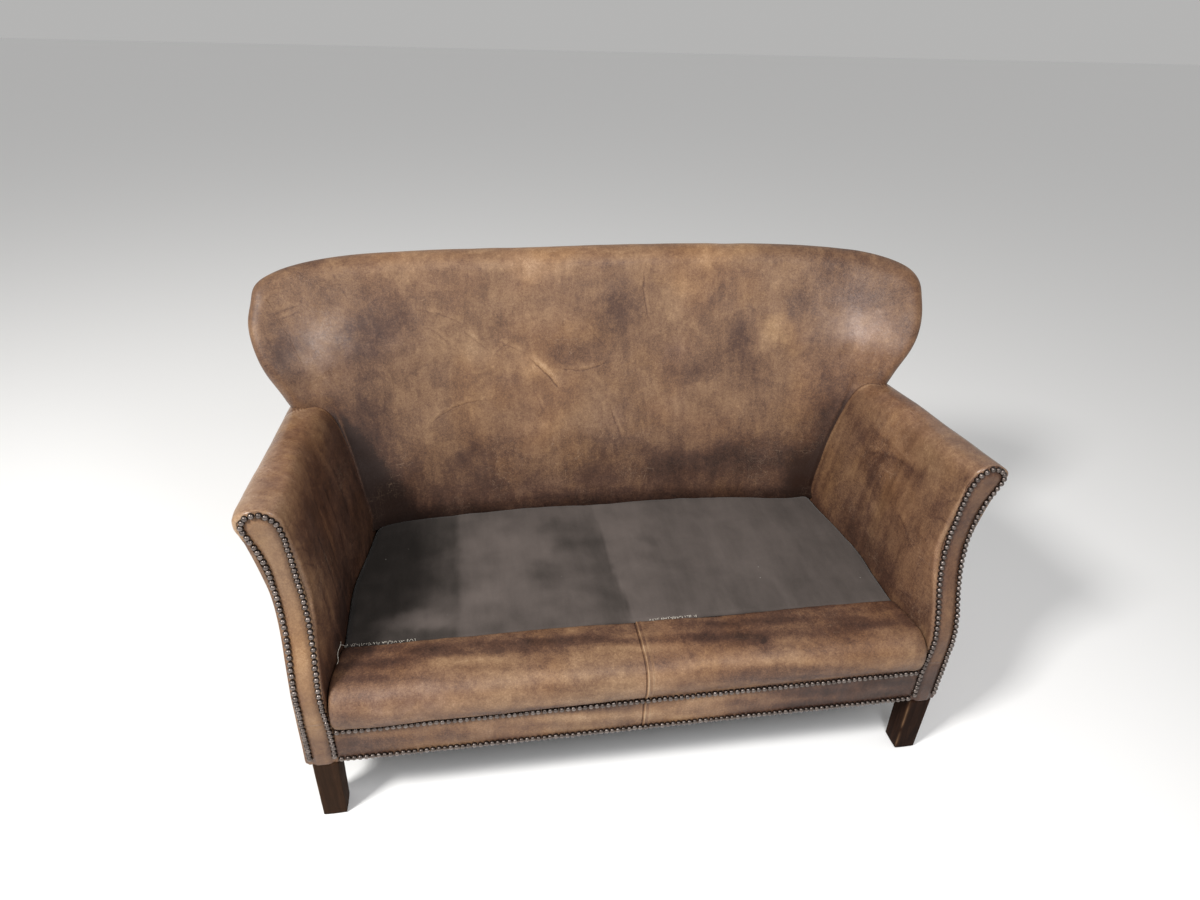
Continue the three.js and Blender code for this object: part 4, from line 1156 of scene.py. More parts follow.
# %% Edge of the arm facings
FACING_ROWS, FACING_ACROSS = 260, 44
NAIL_RADIUS = 0.0056
NAIL_KNOTS = np.array([
    (0.5905, 0.150), (0.5915, 0.230), (0.5970, 0.300), (0.5990, 0.370), (0.6020, 0.435), (0.6090, 0.495),
    (0.6140, 0.550), (0.6180, 0.605), (0.6220, 0.643), (0.6300, 0.667), (0.6420, 0.6785), (0.6560, 0.6825),
    (0.6690, 0.679), (0.6790, 0.670), (0.6835, 0.657), (0.6780, 0.636), (0.6665, 0.604), (0.6580, 0.568),
    (0.6540, 0.522), (0.6490, 0.478), (0.6430, 0.428), (0.6400, 0.370), (0.6380, 0.310), (0.6370, 0.240),
    (0.6360, 0.150)])
OUTLINE = moved_aside(smooth_curve(NAIL_KNOTS, 600), -NAIL_RADIUS)
APEX = OUTLINE[:, 1].argmax()


def nearest_on(line, a, b, batches):
    """Distance from each point (a, b) to a line's nearest point, and that point's number in the line."""
    distances, numbers = [], []
    for part in np.array_split(joined(a, b).reshape(-1, 1, 2), batches):
        apart = np.linalg.norm(part - line, axis=-1)
        distances.append(apart.min(axis=1))
        numbers.append(apart.argmin(axis=1))
    return np.concatenate(distances).reshape(a.shape), np.concatenate(numbers).reshape(a.shape)


def edge_distance(x, z):
    """Distance from each point to the facing's edge."""
    return nearest_on(OUTLINE, x, z, 20)[0]


print("edge of a facing", round(float(walked_length(OUTLINE)[-1]), 3), "m long")

# %% [markdown]
# A facing is laid out between its inner and outer edge at each height. It is padded
# between the nails, pressed in below them, and rolled over at the edge.

# %% Arm facings
def facing_rings(seed, thickness=0.0068, radius=0.0045):
    """Rings of a facing on the +X side: across the front face, round the edge and back behind."""
    climb = np.linspace(0, 1, FACING_ROWS)
    z = mix(UNDER_Z, OUTLINE[APEX, 1] - 0.0002, 1 - (1 - climb) ** 1.35)[:, None]
    inner = np.interp(z, OUTLINE[:APEX, 1], OUTLINE[:APEX, 0])
    outer = np.interp(z, OUTLINE[:APEX:-1, 1], OUTLINE[:APEX:-1, 0])
    share = (1 - np.cos(np.linspace(0, np.pi, FACING_ACROSS))) / 2
    x = mix(inner, outer, share[None])
    z = np.broadcast_to(z, x.shape)
    gap = edge_distance(x, z)
    roll = quarter_fall(gap, radius, thickness / 2)
    y = FRONT_Y + arm_setback(z)
    wrinkle = streaks(x / 0.03, z / 0.011, y, seed)
    knee = bell(z - 0.262, 0.004) - bell(z - 0.256, 0.003)
    padding = 0.0036 + 0.0010 * cloud(joined(x, y, z), 0.06, seed + 1, 3) + 0.0004 * wrinkle + 0.0010 * knee
    relief = ramp(0.008, 0.020, gap) * padding - 0.0008 * bell(gap - NAIL_RADIUS, 0.004)
    face, rear = joined(x, y + roll - relief, z), joined(x, y + thickness - roll, z)
    return np.concatenate([face, rear[:, ::-1][:, 1:-1:3]], axis=1)


FACING_SPOTS = [(0.655, 0.62, 0.03, 0.05, 0, 0.10), (0.63, 0.50, 0.03, 0.05, 0, 0.10),
                (0.62, 0.38, 0.03, 0.06, 0, 0.28), (0.61, 0.28, 0.03, 0.04, 0, 0.10),
                (0.61, 0.20, 0.03, 0.035, 0, -0.15)]
for seed, (name, side) in enumerate(SIDES.items()):
    rings = facing_rings(110 + 4 * seed)
    x, y, z = np.moveaxis(rings, -1, 0)
    beside_nails = bell(edge_distance(x, z) - 0.0125, 0.004)
    tone = patches(x, z, rings, FACING_SPOTS, 120 + seed, ragged=0.012) - 0.18 * beside_nails
    tone = tone + {"left": 0.22, "right": -0.42}[name] - 0.12 * (1 - ramp(0.18, 0.30, z))
    facing = lofted(f"arm_facing_cover_{name}", rings * (side, 1, 1), facing_leather,
                    {"tone": tone, "wax": 0.3})
    place(facing, "brown_leather", f"arm_facing_{name}")

# %% [markdown]
# ## The front roll and the band
# The roll along the front edge is two hides joined by one lapped seam in the middle. The band below it is
# nailed along both edges, with the same seam. So the seam comes first: its height and its tone across, and
# stations across the sofa that stand closer together beside it.

# %% The lapped seam
SEAM_X = 0.004                   # the lapped seam stands slightly right of the middle


def lapped_seam(x):
    """Height across a lapped seam: a stitched groove, then a raised lap that ends in a small step."""
    across = x - SEAM_X
    groove = -0.0022 * bell(across, 0.0013)
    lip = 0.0016 * bell(across - 0.0030, 0.0016)
    lap = 0.0011 * ramp(0.0005, 0.0022, across) * (1 - ramp(0.0120, 0.0145, across))
    return groove + lip + lap


def seam_tone(x):
    """Tone across the lapped seam: pale on its two ridges and dark in the groove."""
    across = x - SEAM_X
    ridges = 0.55 * bell(across - 0.0032, 0.0020) + 0.30 * bell(across - 0.0130, 0.0022)
    return ridges - 0.60 * bell(across + 0.0008, 0.0015) - 0.15 * bell(across - 0.008, 0.003)


def across_stations(half, count, fine=0.018):
    """Stations from -half to half, with extra ones close to the seam."""
    even = np.linspace(-half, half, count)
    close = SEAM_X + np.linspace(-fine, fine + 0.004, 60)
    return np.unique(np.concatenate([even[np.abs(even - SEAM_X) > fine + 0.005], close]))


print("stations across", across_stations(0.587, 330).size)

# %% [markdown]
# The roll's profile is a smooth curve through a dozen knots. Every station across carries it, the ends are
# drawn in beside the arms, and a coarse inner wall closes the ring.

# %% Shape of the front roll
ROLL_ROWS = 90
ROLL_HALF = 0.587                # half length of the roll at its widest
ROLL_PROFILE = (FRONT_Y, 0) + smooth_curve(np.array([
    (0.0015, 0.2380), (-0.0065, 0.2490), (-0.0115, 0.2650), (-0.0120, 0.2830), (-0.0070, 0.3010),
    (0.0050, 0.3150), (0.0230, 0.3235), (0.0500, 0.3280), (0.0850, 0.3300), (0.1130, 0.3300),
    (0.1195, 0.3270), (0.1205, 0.3180)]), ROLL_ROWS)
ROLL_INSIDE = (FRONT_Y, 0) + np.array([(0.117, 0.245), (0.060, 0.242), (0.006, 0.240)])


def roll_rings():
    """Rings of the roll: the profile and its inner wall at every station across, lifted by the padding."""
    y, z = np.concatenate([ROLL_PROFILE, ROLL_INSIDE]).T
    half = arm_inner_x(y, z) - 0.0012 - 0.0032 * bell(y - FRONT_Y, 0.03)
    x = across_stations(ROLL_HALF, 330)[:, None] / ROLL_HALF * half
    rings = joined(x, y, z)
    seen = np.zeros(y.size)
    seen[3:ROLL_ROWS - 3] = 1
    full = 0.0035 * cloud(rings * (1, 1, 1.5), 0.20, 131, 2) + 0.0009 * cloud(rings, 0.05, 135, 2)
    fold = 0.0010 * bell(x - SEAM_X, 0.05) * streaks(x / 0.02, z / 0.03, y / 0.05, 137)
    lift = (full + fold + lapped_seam(x)) * seen - quarter_fall(half - np.abs(x), 0.016, 0.006)
    return rings + outward_normals(rings) * lift[..., None]


def roll_distance(y, z):
    """How far a point lies along the profile from its foot."""
    return walked_length(ROLL_PROFILE)[nearest_on(ROLL_PROFILE, y, z, 40)[1]]


rings = roll_rings()
x, y, z = np.moveaxis(rings, -1, 0)
distance = roll_distance(y, z)
print("front roll", round(float(distance.max()), 3), "m round its profile")

# %% [markdown]
# Its spots are placed by the place across and the distance from the foot. Long smears along the roll and fine
# scuffs break them up. The lapped seam is pale on its ridges, the deck's edge is dark, and the ends beside
# the arms carry painted shade.

# %% Front roll
ROLL_SPOTS = [(-0.50, 0.150, 0.10, 0.030, -4, -0.50), (-0.30, 0.165, 0.22, 0.022, 0, -0.40),
              (-0.46, 0.030, 0.16, 0.030, 0, 0.06), (-0.44, 0.085, 0.10, 0.022, -8, -0.10),
              (-0.20, 0.080, 0.20, 0.030, 10, 0.22), (-0.06, 0.050, 0.12, 0.020, 6, 0.16),
              (-0.10, 0.150, 0.10, 0.022, 8, -0.20), (-0.28, 0.020, 0.16, 0.010, 3, -0.18),
              (0.12, 0.150, 0.14, 0.022, 0, -0.42), (0.18, 0.070, 0.18, 0.024, 3, 0.20),
              (0.36, 0.130, 0.20, 0.045, 0, -0.34), (0.46, 0.060, 0.12, 0.016, 0, 0.10),
              (0.25, 0.016, 0.25, 0.012, 0, -0.26), (0.06, 0.105, 0.05, 0.020, 0, -0.16),
              (0.258, 0.128, 0.007, 0.006, 20, -0.9)]
ROLL_BLOOM = [(-0.47, 0.07, 0.12, 0.04, 0, 0.9)]
tone = patches(x, distance, rings, ROLL_SPOTS, 140, ragged=0.016) - 0.14 * ramp(0.0, 0.45, x)
# Painted shade at the roll's ends beside the arms.
tone = tone - 0.30 * bell(0.592 - np.abs(x), 0.040) * ramp(0.070, 0.110, distance)
tone = tone - 0.34 * ramp(0.160, 0.178, distance) + seam_tone(x) - 0.04
tone = tone + 0.30 * streaks(x / 0.17, distance / 0.019 + x / 0.26, 0, 144)
tone = tone + 0.12 * streaks(x / 0.035, y / 0.012, z / 0.012, 145)
bloom = patches(x, distance, rings, ROLL_BLOOM, 142, ragged=0.016)
front_roll = lofted("front_roll_cover", rings, roll_leather,
                    {"tone": tone, "bloom": bloom, "wax": 0.3 * bell(x - SEAM_X, 0.006)})
place(front_roll, "brown_leather", "seat_roll")

# %% [markdown]
# The band under the roll is a flatter hide with a crown between its two rows of nails, which press it in.

# %% Front band
BAND_TOP_Z = 0.2385


def band_rings(rows=44, thickness=0.006):
    """Rings of the band: up its front face and down behind, with both edges rolled and nails pressed in."""
    x = across_stations(0.5848, 300)[:, None]
    z = np.linspace(UNDER_Z, BAND_TOP_Z, rows)
    roll = quarter_fall(np.minimum(z - UNDER_Z, BAND_TOP_Z - z), 0.0035, thickness / 2)
    nails = bell(z - 0.162, 0.005) + bell(z - 0.233, 0.005)
    lumps = 0.0008 * cloud(joined(x, FRONT_Y, z), 0.06, 151, 3)
    crown = 0.0022 * np.sin(np.pi * np.clip((z - 0.166) / 0.062, 0, 1))
    seam = 0.8 * lapped_seam(x) * (1 - 0.7 * np.minimum(nails, 1))
    face = joined(x, FRONT_Y + roll - crown - lumps - seam + 0.0009 * nails, z)
    rear = joined(x, FRONT_Y + thickness - roll, z)
    return np.concatenate([face, rear[:, ::-1][:, 1:-1:4]], axis=1)


BAND_SPOTS = [(-0.50, 0.19, 0.08, 0.03, 0, -0.25), (-0.10, 0.20, 0.15, 0.03, 0, 0.35),
              (-0.38, 0.18, 0.05, 0.02, 0, -0.3), (0.12, 0.20, 0.18, 0.03, 0, 0.30),
              (0.45, 0.20, 0.15, 0.03, 0, -0.15)]
rings = band_rings()
x, y, z = np.moveaxis(rings, -1, 0)
tone = patches(x, z, rings, BAND_SPOTS, 160, ragged=0.015)
tone = tone + 0.30 * streaks(x / 0.10, z / 0.018 + x / 0.25, 0, 161)
tone = tone + seam_tone(x) + 0.15 * bell(z - UNDER_Z, 0.004) - 0.10 - 0.50 * ramp(0.10, 0.45, x)
front_band = lofted("front_band_cover", rings, roll_leather, {"tone": tone})
place(front_band, "brown_leather", "front_band")

# %% [markdown]
# ## The deck
# With the loose cushion gone the deck shows: brushed cloth over thin padding, tucked down along the arms and
# the back. Its nap lies in different directions, which leaves large lighter and darker areas.

# %% Shape of the deck
DECK_HALF_TURN = 0.9 * np.pi / 2     # how much of a half sine wave spaces the stations across


def deck_grid(count=220, rows=100):
    """Upper surface of the deck.

    Points start on an even grid between the seam and the back, and between the arms. Where the true edge
    depends on the other coordinate it is worked out three times over, which settles it. Close to the arms,
    the back and the seam the cloth turns down as a quarter circle.
    """
    s = np.sin(np.linspace(-1, 1, count) * DECK_HALF_TURN)[:, None] / math.sin(DECK_HALF_TURN)
    t = np.linspace(0, 1, rows)[None]
    y = SEAM_Y + t * 0.40 + 0 * s
    for _ in range(3):
        x = s * (arm_inner_x(y, 0.335) - 0.0018)
        y = mix(SEAM_Y - 0.0035, back_inner_y(x, 0.352) - 0.002, t)
    side_gap = arm_inner_x(y, 0.335) - 0.0018 - np.abs(x)
    rear_gap = back_inner_y(x, 0.352) - 0.002 - y
    turn_down = (quarter_fall(side_gap, 0.020, 0.020) + quarter_fall(rear_gap, 0.020, 0.012)
                 + quarter_fall(y - SEAM_Y + 0.0035, 0.006, 0.0050))
    flat = joined(x, y, 0)
    rest = 0.0030 * cloud(flat, 0.22, 171, 2) + 0.0008 * cloud(flat, 0.04, 175, 2)
    return joined(x, y, deck_z(y) + rest - turn_down + 0.001)


def foam_rings():
    """Rings of the seat foam: a coarse copy of the deck's surface just below it, down to the webbing."""
    top = deck_grid(60, 30)[2:-2, 1:-1] - (0, 0, 0.006)
    base = top[:, [-1, 0]] * (1, 1, 0) + (0, 0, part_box("seat_foam")[0][2])
    return np.concatenate([top, base], axis=1)


DECK_THICKNESS = 0.0025
deck_top = deck_grid()
print("deck", (deck_top[..., 2].max() - deck_top[..., 2].min()).round(3), "m from its lowest to its highest")

# %% [markdown]
# The cloth is brushed: short fibres in a very fine noise, brushed streaks and softer areas decide how dark it
# is, and a few pale specks of lint lie on it.

# %% Brushed cloth
def nap_group():
    """Brushed cloth: short fibres in a fine noise, brushed streaks, and pale lint."""
    group, entry, leave = new_group("nap", {"Vector": ("vector", None), "Nap": ("value", 0.0)},
                                    {"Color": "colour", "Height": "value"})
    vector = entry.outputs["Vector"]
    fibre = noise(group, vector, 900.0, 3.0, 0.7)
    brushed = noise(group, stretched(group, vector, (30, 6, 30), (0, 0, 0.5)), 1.0, 5.0, 0.65)
    soft = noise(group, vector, 11.0, 4.0, 0.6, 0.5)
    uneven = centred_sum(group, (soft, 0.6), (brushed, 0.5), (fibre, 0.5))
    level = maths(group, "ADD", entry.outputs["Nap"], uneven)
    cloth = blend(group, remap(group, level, -0.9, 0.9), (0.018, 0.0148, 0.0125, 1),
                  (0.117, 0.096, 0.087, 1))
    specks = node(group, "ShaderNodeTexVoronoi", Vector=vector, Scale=70.0).outputs["Distance"]
    few = remap(group, noise(group, vector, 22.0, 1.0, 0.5), 0.66, 0.72)
    lint = maths(group, "MULTIPLY", remap(group, specks, 0.05, 0.085, 1, 0), few)
    plug(group, leave, Color=blend(group, maths(group, "MULTIPLY", lint, 0.6), cloth, (0.5, 0.48, 0.45, 1)),
         Height=maths(group, "MULTIPLY_ADD", brushed, 0.5, fibre))
    return group


def deck_material():
    """Matt brushed cloth with a soft sheen."""
    material, tree, shader, coordinates = new_material("deck_cloth")
    nap = use_group(tree, nap_group(), Vector=coordinates, Nap=stored(tree, "nap"))
    plug(tree, shader, Base_Color=nap.outputs["Color"], Roughness=0.95, Specular_IOR_Level=0.2,
         Normal=bumped(tree, nap.outputs["Height"], 0.5, 0.0008), Sheen_Weight=0.12, Sheen_Roughness=0.4)
    return material


print("groups", [g.name for g in bpy.data.node_groups])

# %% [markdown]
# The nap field says how the pile lies, with soft spots and one clear edge near the middle where the brushing
# changes direction; it also carries a dark end at the left, which is painted shadow of the left arm.

# %% Deck cloth
NAP_SPOTS = [(-0.52, -0.05, 0.12, 0.40, 0, -0.25), (-0.24, -0.02, 0.10, 0.10, 20, 0.24),
             (-0.42, -0.205, 0.08, 0.028, 10, 0.70), (-0.17, -0.10, 0.05, 0.04, 20, -0.35),
             (-0.12, 0.02, 0.03, 0.05, 0, -0.25), (0.07, -0.02, 0.03, 0.02, 0, -0.22),
             (0.25, -0.02, 0.22, 0.16, 0, 0.10), (0.46, -0.05, 0.08, 0.14, 0, -0.10),
             (-0.30, -0.15, 0.12, 0.05, 0, 0.20)]
rings = two_walls(deck_top, deck_top - (0, 0, DECK_THICKNESS))
x, y, z = np.moveaxis(rings, -1, 0)
drift = 0.006 * cloud(rings, 0.05, 182)
# The dark left end of the deck, with the first spot, is painted shadow of the left arm.
nap = patches(x, y, rings, NAP_SPOTS, 180, ragged=0.03) - 0.38 * (1 - ramp(-0.356, -0.338, x + drift))
edge = x + drift + 0.06 * (y + 0.05)
nap = nap - 0.22 * ramp(-0.11, -0.02, x) * (1 - ramp(-0.016, -0.008, edge)) * (1 - ramp(0.00, 0.12, y))
nap = nap + 0.22 * ramp(-0.016, -0.008, edge) * (1 - ramp(0.02, 0.11, x)) - 0.02
nap = nap + 0.12 * streaks(x / 0.04, y / 0.03, 0, 184) * (1 - ramp(0.05, 0.2, x))
deck = lofted("deck_cover", rings, deck_material(), {"nap": nap}, sheet=True)
place(deck, "deck_cloth", "deck_cloth")

# %% [markdown]
# The foam under the cloth is a coarse block, cut to the deck's own surface. Foam, thread, webbing and
# undercloth all get one simple matt finish: two colours mixed by a fine noise, which also roughens them.

# %% Seat foam
def speckled_material(name, dark, light, scale, roughness):
    """A matt material between two colours by a fine noise, with the same noise as its bump."""
    material, tree, shader, coordinates = new_material(name)
    value = noise(tree, coordinates, scale, 4.0, 0.7)
    plug(tree, shader, Base_Color=blend(tree, remap(tree, value, 0.35, 0.65), dark, light),
         Normal=bumped(tree, value, 0.5, 0.0005), Roughness=roughness)
    return material


# Painted shade: the foam shows only in the gap at the deck's front seam, and its dark colour stands for the
# shade there.
cut_foam = speckled_material("cut_foam", (0.09, 0.08, 0.065, 1), (0.15, 0.13, 0.10, 1), 700.0, 0.95)
foam = lofted("seat_foam_block", foam_rings(), cut_foam)
place(foam, "foam", "seat_foam")

# %% [markdown]
# The deck's front edge was overlocked before it was sewn down. Its pale stitches show and fray in two places,
# and one loose strand hangs in the gap beside the left arm. Each thread is a thin five-sided tube.

# %% Frayed stitches
def thread_mesh(name, lines, radius, material):
    """One mesh of thin tubes along lines, an array of threads by points by places."""
    count, steps = lines.shape[:2]
    along = np.gradient(lines, axis=1)
    side = unit(np.cross(along, (0.1, 0.2, 0.97)))
    third = unit(np.cross(along, side))
    turn = np.linspace(0, 2 * np.pi, 5, endpoint=False)[:, None]
    offset = np.cos(turn) * side[:, :, None] - np.sin(turn) * third[:, :, None]
    points = lines[:, :, None] + radius * offset
    base = (np.arange(count) * steps * 5)[:, None, None]
    ring = (np.arange(steps - 1) * 5)[None, :, None]
    here, following = np.arange(5), (np.arange(5) + 1) % 5
    corners = [base + ring + part for part in (here, following, following + 5, here + 5)]
    quads = np.stack(np.broadcast_arrays(*corners), axis=-1).reshape(-1, 4)
    caps = np.concatenate([base[:, 0] + here[::-1], base[:, 0] + (steps - 1) * 5 + here])
    return add_mesh(name, points, quads.tolist() + caps.tolist(), material, smooth=False)


def stitches(first, last, pitch, seed):
    """Bowed stitches across the deck seam between two places, each turned and sized at random."""
    rng = np.random.default_rng(seed)
    even = np.arange(first, last, pitch)[:, None]
    x = even + rng.normal(0, 0.0010, even.shape)
    share = np.linspace(-0.5, 0.5, 6)
    lean, length = rng.normal(0, 0.8, x.shape), rng.uniform(0.0035, 0.0085, x.shape)
    middle = SEAM_Y - 0.0005 + rng.normal(0, 0.0008, x.shape)
    bow = rng.uniform(0.0008, 0.0026, x.shape) * (1 - 4 * share ** 2)
    return joined(x + share * length * np.sin(lean), middle + share * length * np.cos(lean), 0.3300 + bow)


thread = speckled_material("pale_thread", (0.42, 0.38, 0.32, 1), (0.62, 0.58, 0.52, 1), 900.0, 0.9)
frayed = np.concatenate([stitches(0.035, 0.135, 0.0026, 191), stitches(-0.572, -0.430, 0.0042, 192)])
place(thread_mesh("seam_stitches", frayed, 0.00036, thread), "deck_cloth")
t = np.linspace(0, 1, 24)
strand = joined(-0.5735 + 0.0015 * np.sin(9 * t), -0.243 - 0.060 * t, 0.3375 + 0.0012 * np.sin(6 * t))
place(thread_mesh("loose_strand", strand[None], 0.0006, thread), "deck_cloth")

# %% [markdown]
# ## Nails
# About four hundred dome nails trim the sofa. They nearly touch, and none sits quite true. One dome of a few
# dozen faces is copied to all the places at once by broadcasting: places along a line come from walking it at
# a fixed pitch, and each dome gets a small random tilt and shift.

# %% Nail heads
NAIL_PITCH = 0.0113
NAIL_HEIGHT = 0.0055
SKIRT_DEPTH = 0.0015             # how deep a nail's skirt is sunk in the hide
NAIL_SIDES = 14


def dome():
    """Points and faces of one nail head: rings of an ellipse's quarter over a sunken skirt."""
    angles = np.radians([0, 22, 44, 66])[:, None]
    turn = np.linspace(0, 2 * np.pi, NAIL_SIDES, endpoint=False)
    radii = NAIL_RADIUS * np.concatenate([[[1]], np.cos(angles)])
    heights = np.concatenate([[[-SKIRT_DEPTH]], NAIL_HEIGHT * np.sin(angles)])
    body = joined(radii * np.cos(turn), radii * np.sin(turn), heights).reshape(-1, 3)
    points = np.concatenate([body, [(0, 0, NAIL_HEIGHT), (0, 0, -SKIRT_DEPTH)]])
    step = np.arange(NAIL_SIDES)
    nxt = (step + 1) % NAIL_SIDES
    low = NAIL_SIDES * np.arange(len(angles))[:, None]
    quads = joined(low + step, low + nxt, low + NAIL_SIDES + nxt, low + NAIL_SIDES + step).reshape(-1, 4)
    top = NAIL_SIDES * len(angles)
    crown, base = joined(top + step, top + nxt, len(body)), joined(nxt, step, len(body) + 1)
    return points, quads, np.concatenate([crown, base])


print("one nail head has", sum(len(part) for part in dome()[1:]), "faces")

# %% [markdown]
# A row is a line with an outward direction at each of its points. Every head gets its own
# small tilt, shift, size and age.

# %% Row of nail heads
def nail_row(name, line, outward, material, node_name, seed):
    """Nail heads along a line at the nail pitch, standing along the outward directions given there."""
    length = walked_length(line)[-1]
    at = np.linspace(0, length, int(round(length / NAIL_PITCH)) + 1)
    centres, axes = read_at(line, at, line), read_at(line, at, outward)
    rng = np.random.default_rng(seed)
    axes = unit(axes + rng.normal(0, 0.07, axes.shape))
    centres = centres + rng.normal(0, 0.00030, centres.shape)
    side = unit(np.cross(axes, (0.3, 0.2, 0.93)))
    third = np.cross(axes, side)
    points, quads, triangles = dome()
    size = rng.uniform(0.96, 1.02, (len(at), 1, 1))
    local = points[None] * size
    placed = (centres[:, None] + local[..., :1] * side[:, None] + local[..., 1:2] * third[:, None]
              + local[..., 2:] * axes[:, None])
    shift = (np.arange(len(at)) * len(points))[:, None, None]
    faces = [(part + shift).reshape(-1, part.shape[1]).tolist() for part in (quads, triangles)]
    fields = {"age": np.repeat(rng.uniform(0, 1, len(at)), len(points)),
              "rise": np.tile(points[:, 2] / NAIL_HEIGHT, len(at))}
    place(add_mesh(name, placed, faces[0] + faces[1], material, fields), "nail_metal", node_name)
    print("  nails", len(at))

# %% [markdown]
# The metal is antiqued: dark where a dome meets the hide, and rubbed brighter on its
# crown, more on some heads than on others.

# %% Nail metal
def nail_material():
    """Antiqued brass: dark in the hollows and at the skirt, rubbed brighter on the crown."""
    material, tree, shader, coordinates = new_material("antiqued_nails")
    crown = remap(tree, stored(tree, "rise"), 0.15, 0.90)
    worn = maths(tree, "MULTIPLY", crown, remap(tree, stored(tree, "age"), 0.0, 1.0, 0.55, 1.0))
    grime = remap(tree, noise(tree, coordinates, 700.0, 2.0, 0.5), 0.42, 0.70)
    colour = blend(tree, worn, (0.040, 0.030, 0.026, 1), (0.215, 0.182, 0.165, 1))
    colour = blend(tree, maths(tree, "MULTIPLY", grime, 0.30), colour, (0.05, 0.036, 0.030, 1))
    plug(tree, shader, Base_Color=colour, Roughness=remap(tree, grime, 0.0, 1.0, 0.32, 0.46), Metallic=0.9)
    return material


nails = nail_material()
print("metal", nails.name)

# %% [markdown]
# The rows round the arm fronts follow the knots' curve and stand square to the arm's sloping front. The rows
# on the band are straight.

# %% Rows of nails

def facing_nail_line():
    """Line of an arm's nails on the +X side with the outward direction at each of its points.

    Its depth is the facing's own, and the outward direction is square to the facing's slope.
    """
    x, z = smooth_curve(NAIL_KNOTS, 700)[12:-12].T
    heights = np.linspace(0.15, 0.69, 541)
    tilt = np.interp(z, heights, np.gradient(arm_setback(heights), 0.001))
    return joined(x, FRONT_Y + arm_setback(z) - 0.0008, z), unit(joined(0, -1, tilt))


line, outward = facing_nail_line()
for seed, (name, side) in enumerate(SIDES.items()):
    nail_row(f"arm_nail_heads_{name}", line * (side, 1, 1), outward * (side, 1, 1), nails,
             f"arm_nails_{name}", 200 + seed)
for seed, (name, height) in enumerate((("upper", 0.233), ("lower", 0.159))):
    ends = joined(np.array([-0.5790, 0.5790]), FRONT_Y - 0.0009, height)
    nail_row(f"front_nail_heads_{name}", ends, np.array([(0, -1.0, 0), (0, -1.0, 0)]), nails,
             f"front_nails_{name}", 210 + seed)

# %% [markdown]
# ## Legs
# Four plain legs of dark stained hardwood. A leg is a stack of square rings with rounded corners, slightly
# uneven, so the light catches the arrises. The stain is worn through to paler wood along the front arrises.

# %% Shape of a leg
LEG_HEIGHT = 0.15
ARRIS_RADIUS = 0.0028


def leg_rings(node_name, foot_size, top_size):
    """Rings of a leg from the foot up, round the middle of its construction node.

    A ring is a square plus a small circle, which rounds its corners. The square grows from the foot's size
    to the top's, and the edge of the foot is drawn in a little.
    """
    low, high = np.array(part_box(node_name))
    turn = np.linspace(0, 2 * np.pi, 48, endpoint=False)
    circle = joined(np.cos(turn), np.sin(turn))
    flat = np.clip(circle * 1.6, -1, 1)
    square = flat / np.abs(flat).max(axis=-1, keepdims=True)
    z = np.concatenate([[0.0, 0.0008, 0.0025], np.linspace(0.006, 0.1495, 24)])[:, None, None]
    drawn_in = 0.0016 * np.clip(1 - z / 0.0025, 0, 1)
    half = mix(foot_size, top_size, z / LEG_HEIGHT) / 2 - ARRIS_RADIUS - drawn_in
    plan = square * half + circle * ARRIS_RADIUS + ((low + high) / 2)[:2]
    rings = joined(plan[..., 0], plan[..., 1], z[..., 0])
    return rings + (0.0003, 0.0003, 0) * lattice_noise(rings, 0.02, 231)[..., None]


print("leg", leg_rings("leg_front_left", 0.046, 0.048).shape[:2], "points up and round")

# %% [markdown]
# The wood's grain is a noise drawn out along the height, with short dark pores. One helper mixes two browns
# by it, for the stained legs here and for the bare frame later.

# %% Wood


def wood_group():
    """Stained wood: long grain drawn along the height, pores, and a mask of worn places."""
    group, entry, leave = new_group("stained_grain", {"Vector": ("vector", None)},
                                    {"Grain": "value", "Pores": "value"})
    vector = entry.outputs["Vector"]
    grain = noise(group, stretched(group, vector, (90, 90, 7)), 1.0, 6.0, 0.65, 0.8)
    pores = noise(group, stretched(group, vector, (900, 900, 45)), 1.0, 2.0, 0.6)
    plug(group, leave, Grain=grain, Pores=remap(group, pores, 0.56, 0.66))
    return group


WOOD = wood_group()


def wood_material(name, dark, light, roughness):
    """Wood between two colours by its grain, with darker pores."""
    material, tree, shader, coordinates = new_material(name)
    grain = use_group(tree, WOOD, Vector=coordinates)
    colour = blend(tree, remap(tree, grain.outputs["Grain"], 0.3, 0.7), dark, light)
    pore_colour = [0.4 * part for part in dark[:3]] + [1]
    colour = blend(tree, maths(tree, "MULTIPLY", grain.outputs["Pores"], 0.5), colour, pore_colour)
    plug(tree, shader, Base_Color=colour, Normal=bumped(tree, grain.outputs["Grain"], 0.4, 0.0004),
         Roughness=roughness)
    return material, tree, shader, colour


def leg_material():
    """Dark walnut stain, worn pale on the arrises by the stored field worn."""
    material, tree, shader, colour = wood_material("dark_stained_wood", (0.0080, 0.0030, 0.0016, 1),
                                                   (0.026, 0.0108, 0.0054, 1), 0.70)
    worn = blend(tree, stored(tree, "worn"), colour, (0.30, 0.17, 0.09, 1))
    plug(tree, shader, Base_Color=worn, Specular_IOR_Level=0.06)
    return material


stained = leg_material()
print("wood", stained.name)

# %% [markdown]
# The front legs are nearly straight and the rear ones are raked backwards. Each is listed with the sizes of
# its foot and top, how far its foot leans back, and how worn its front arris is.

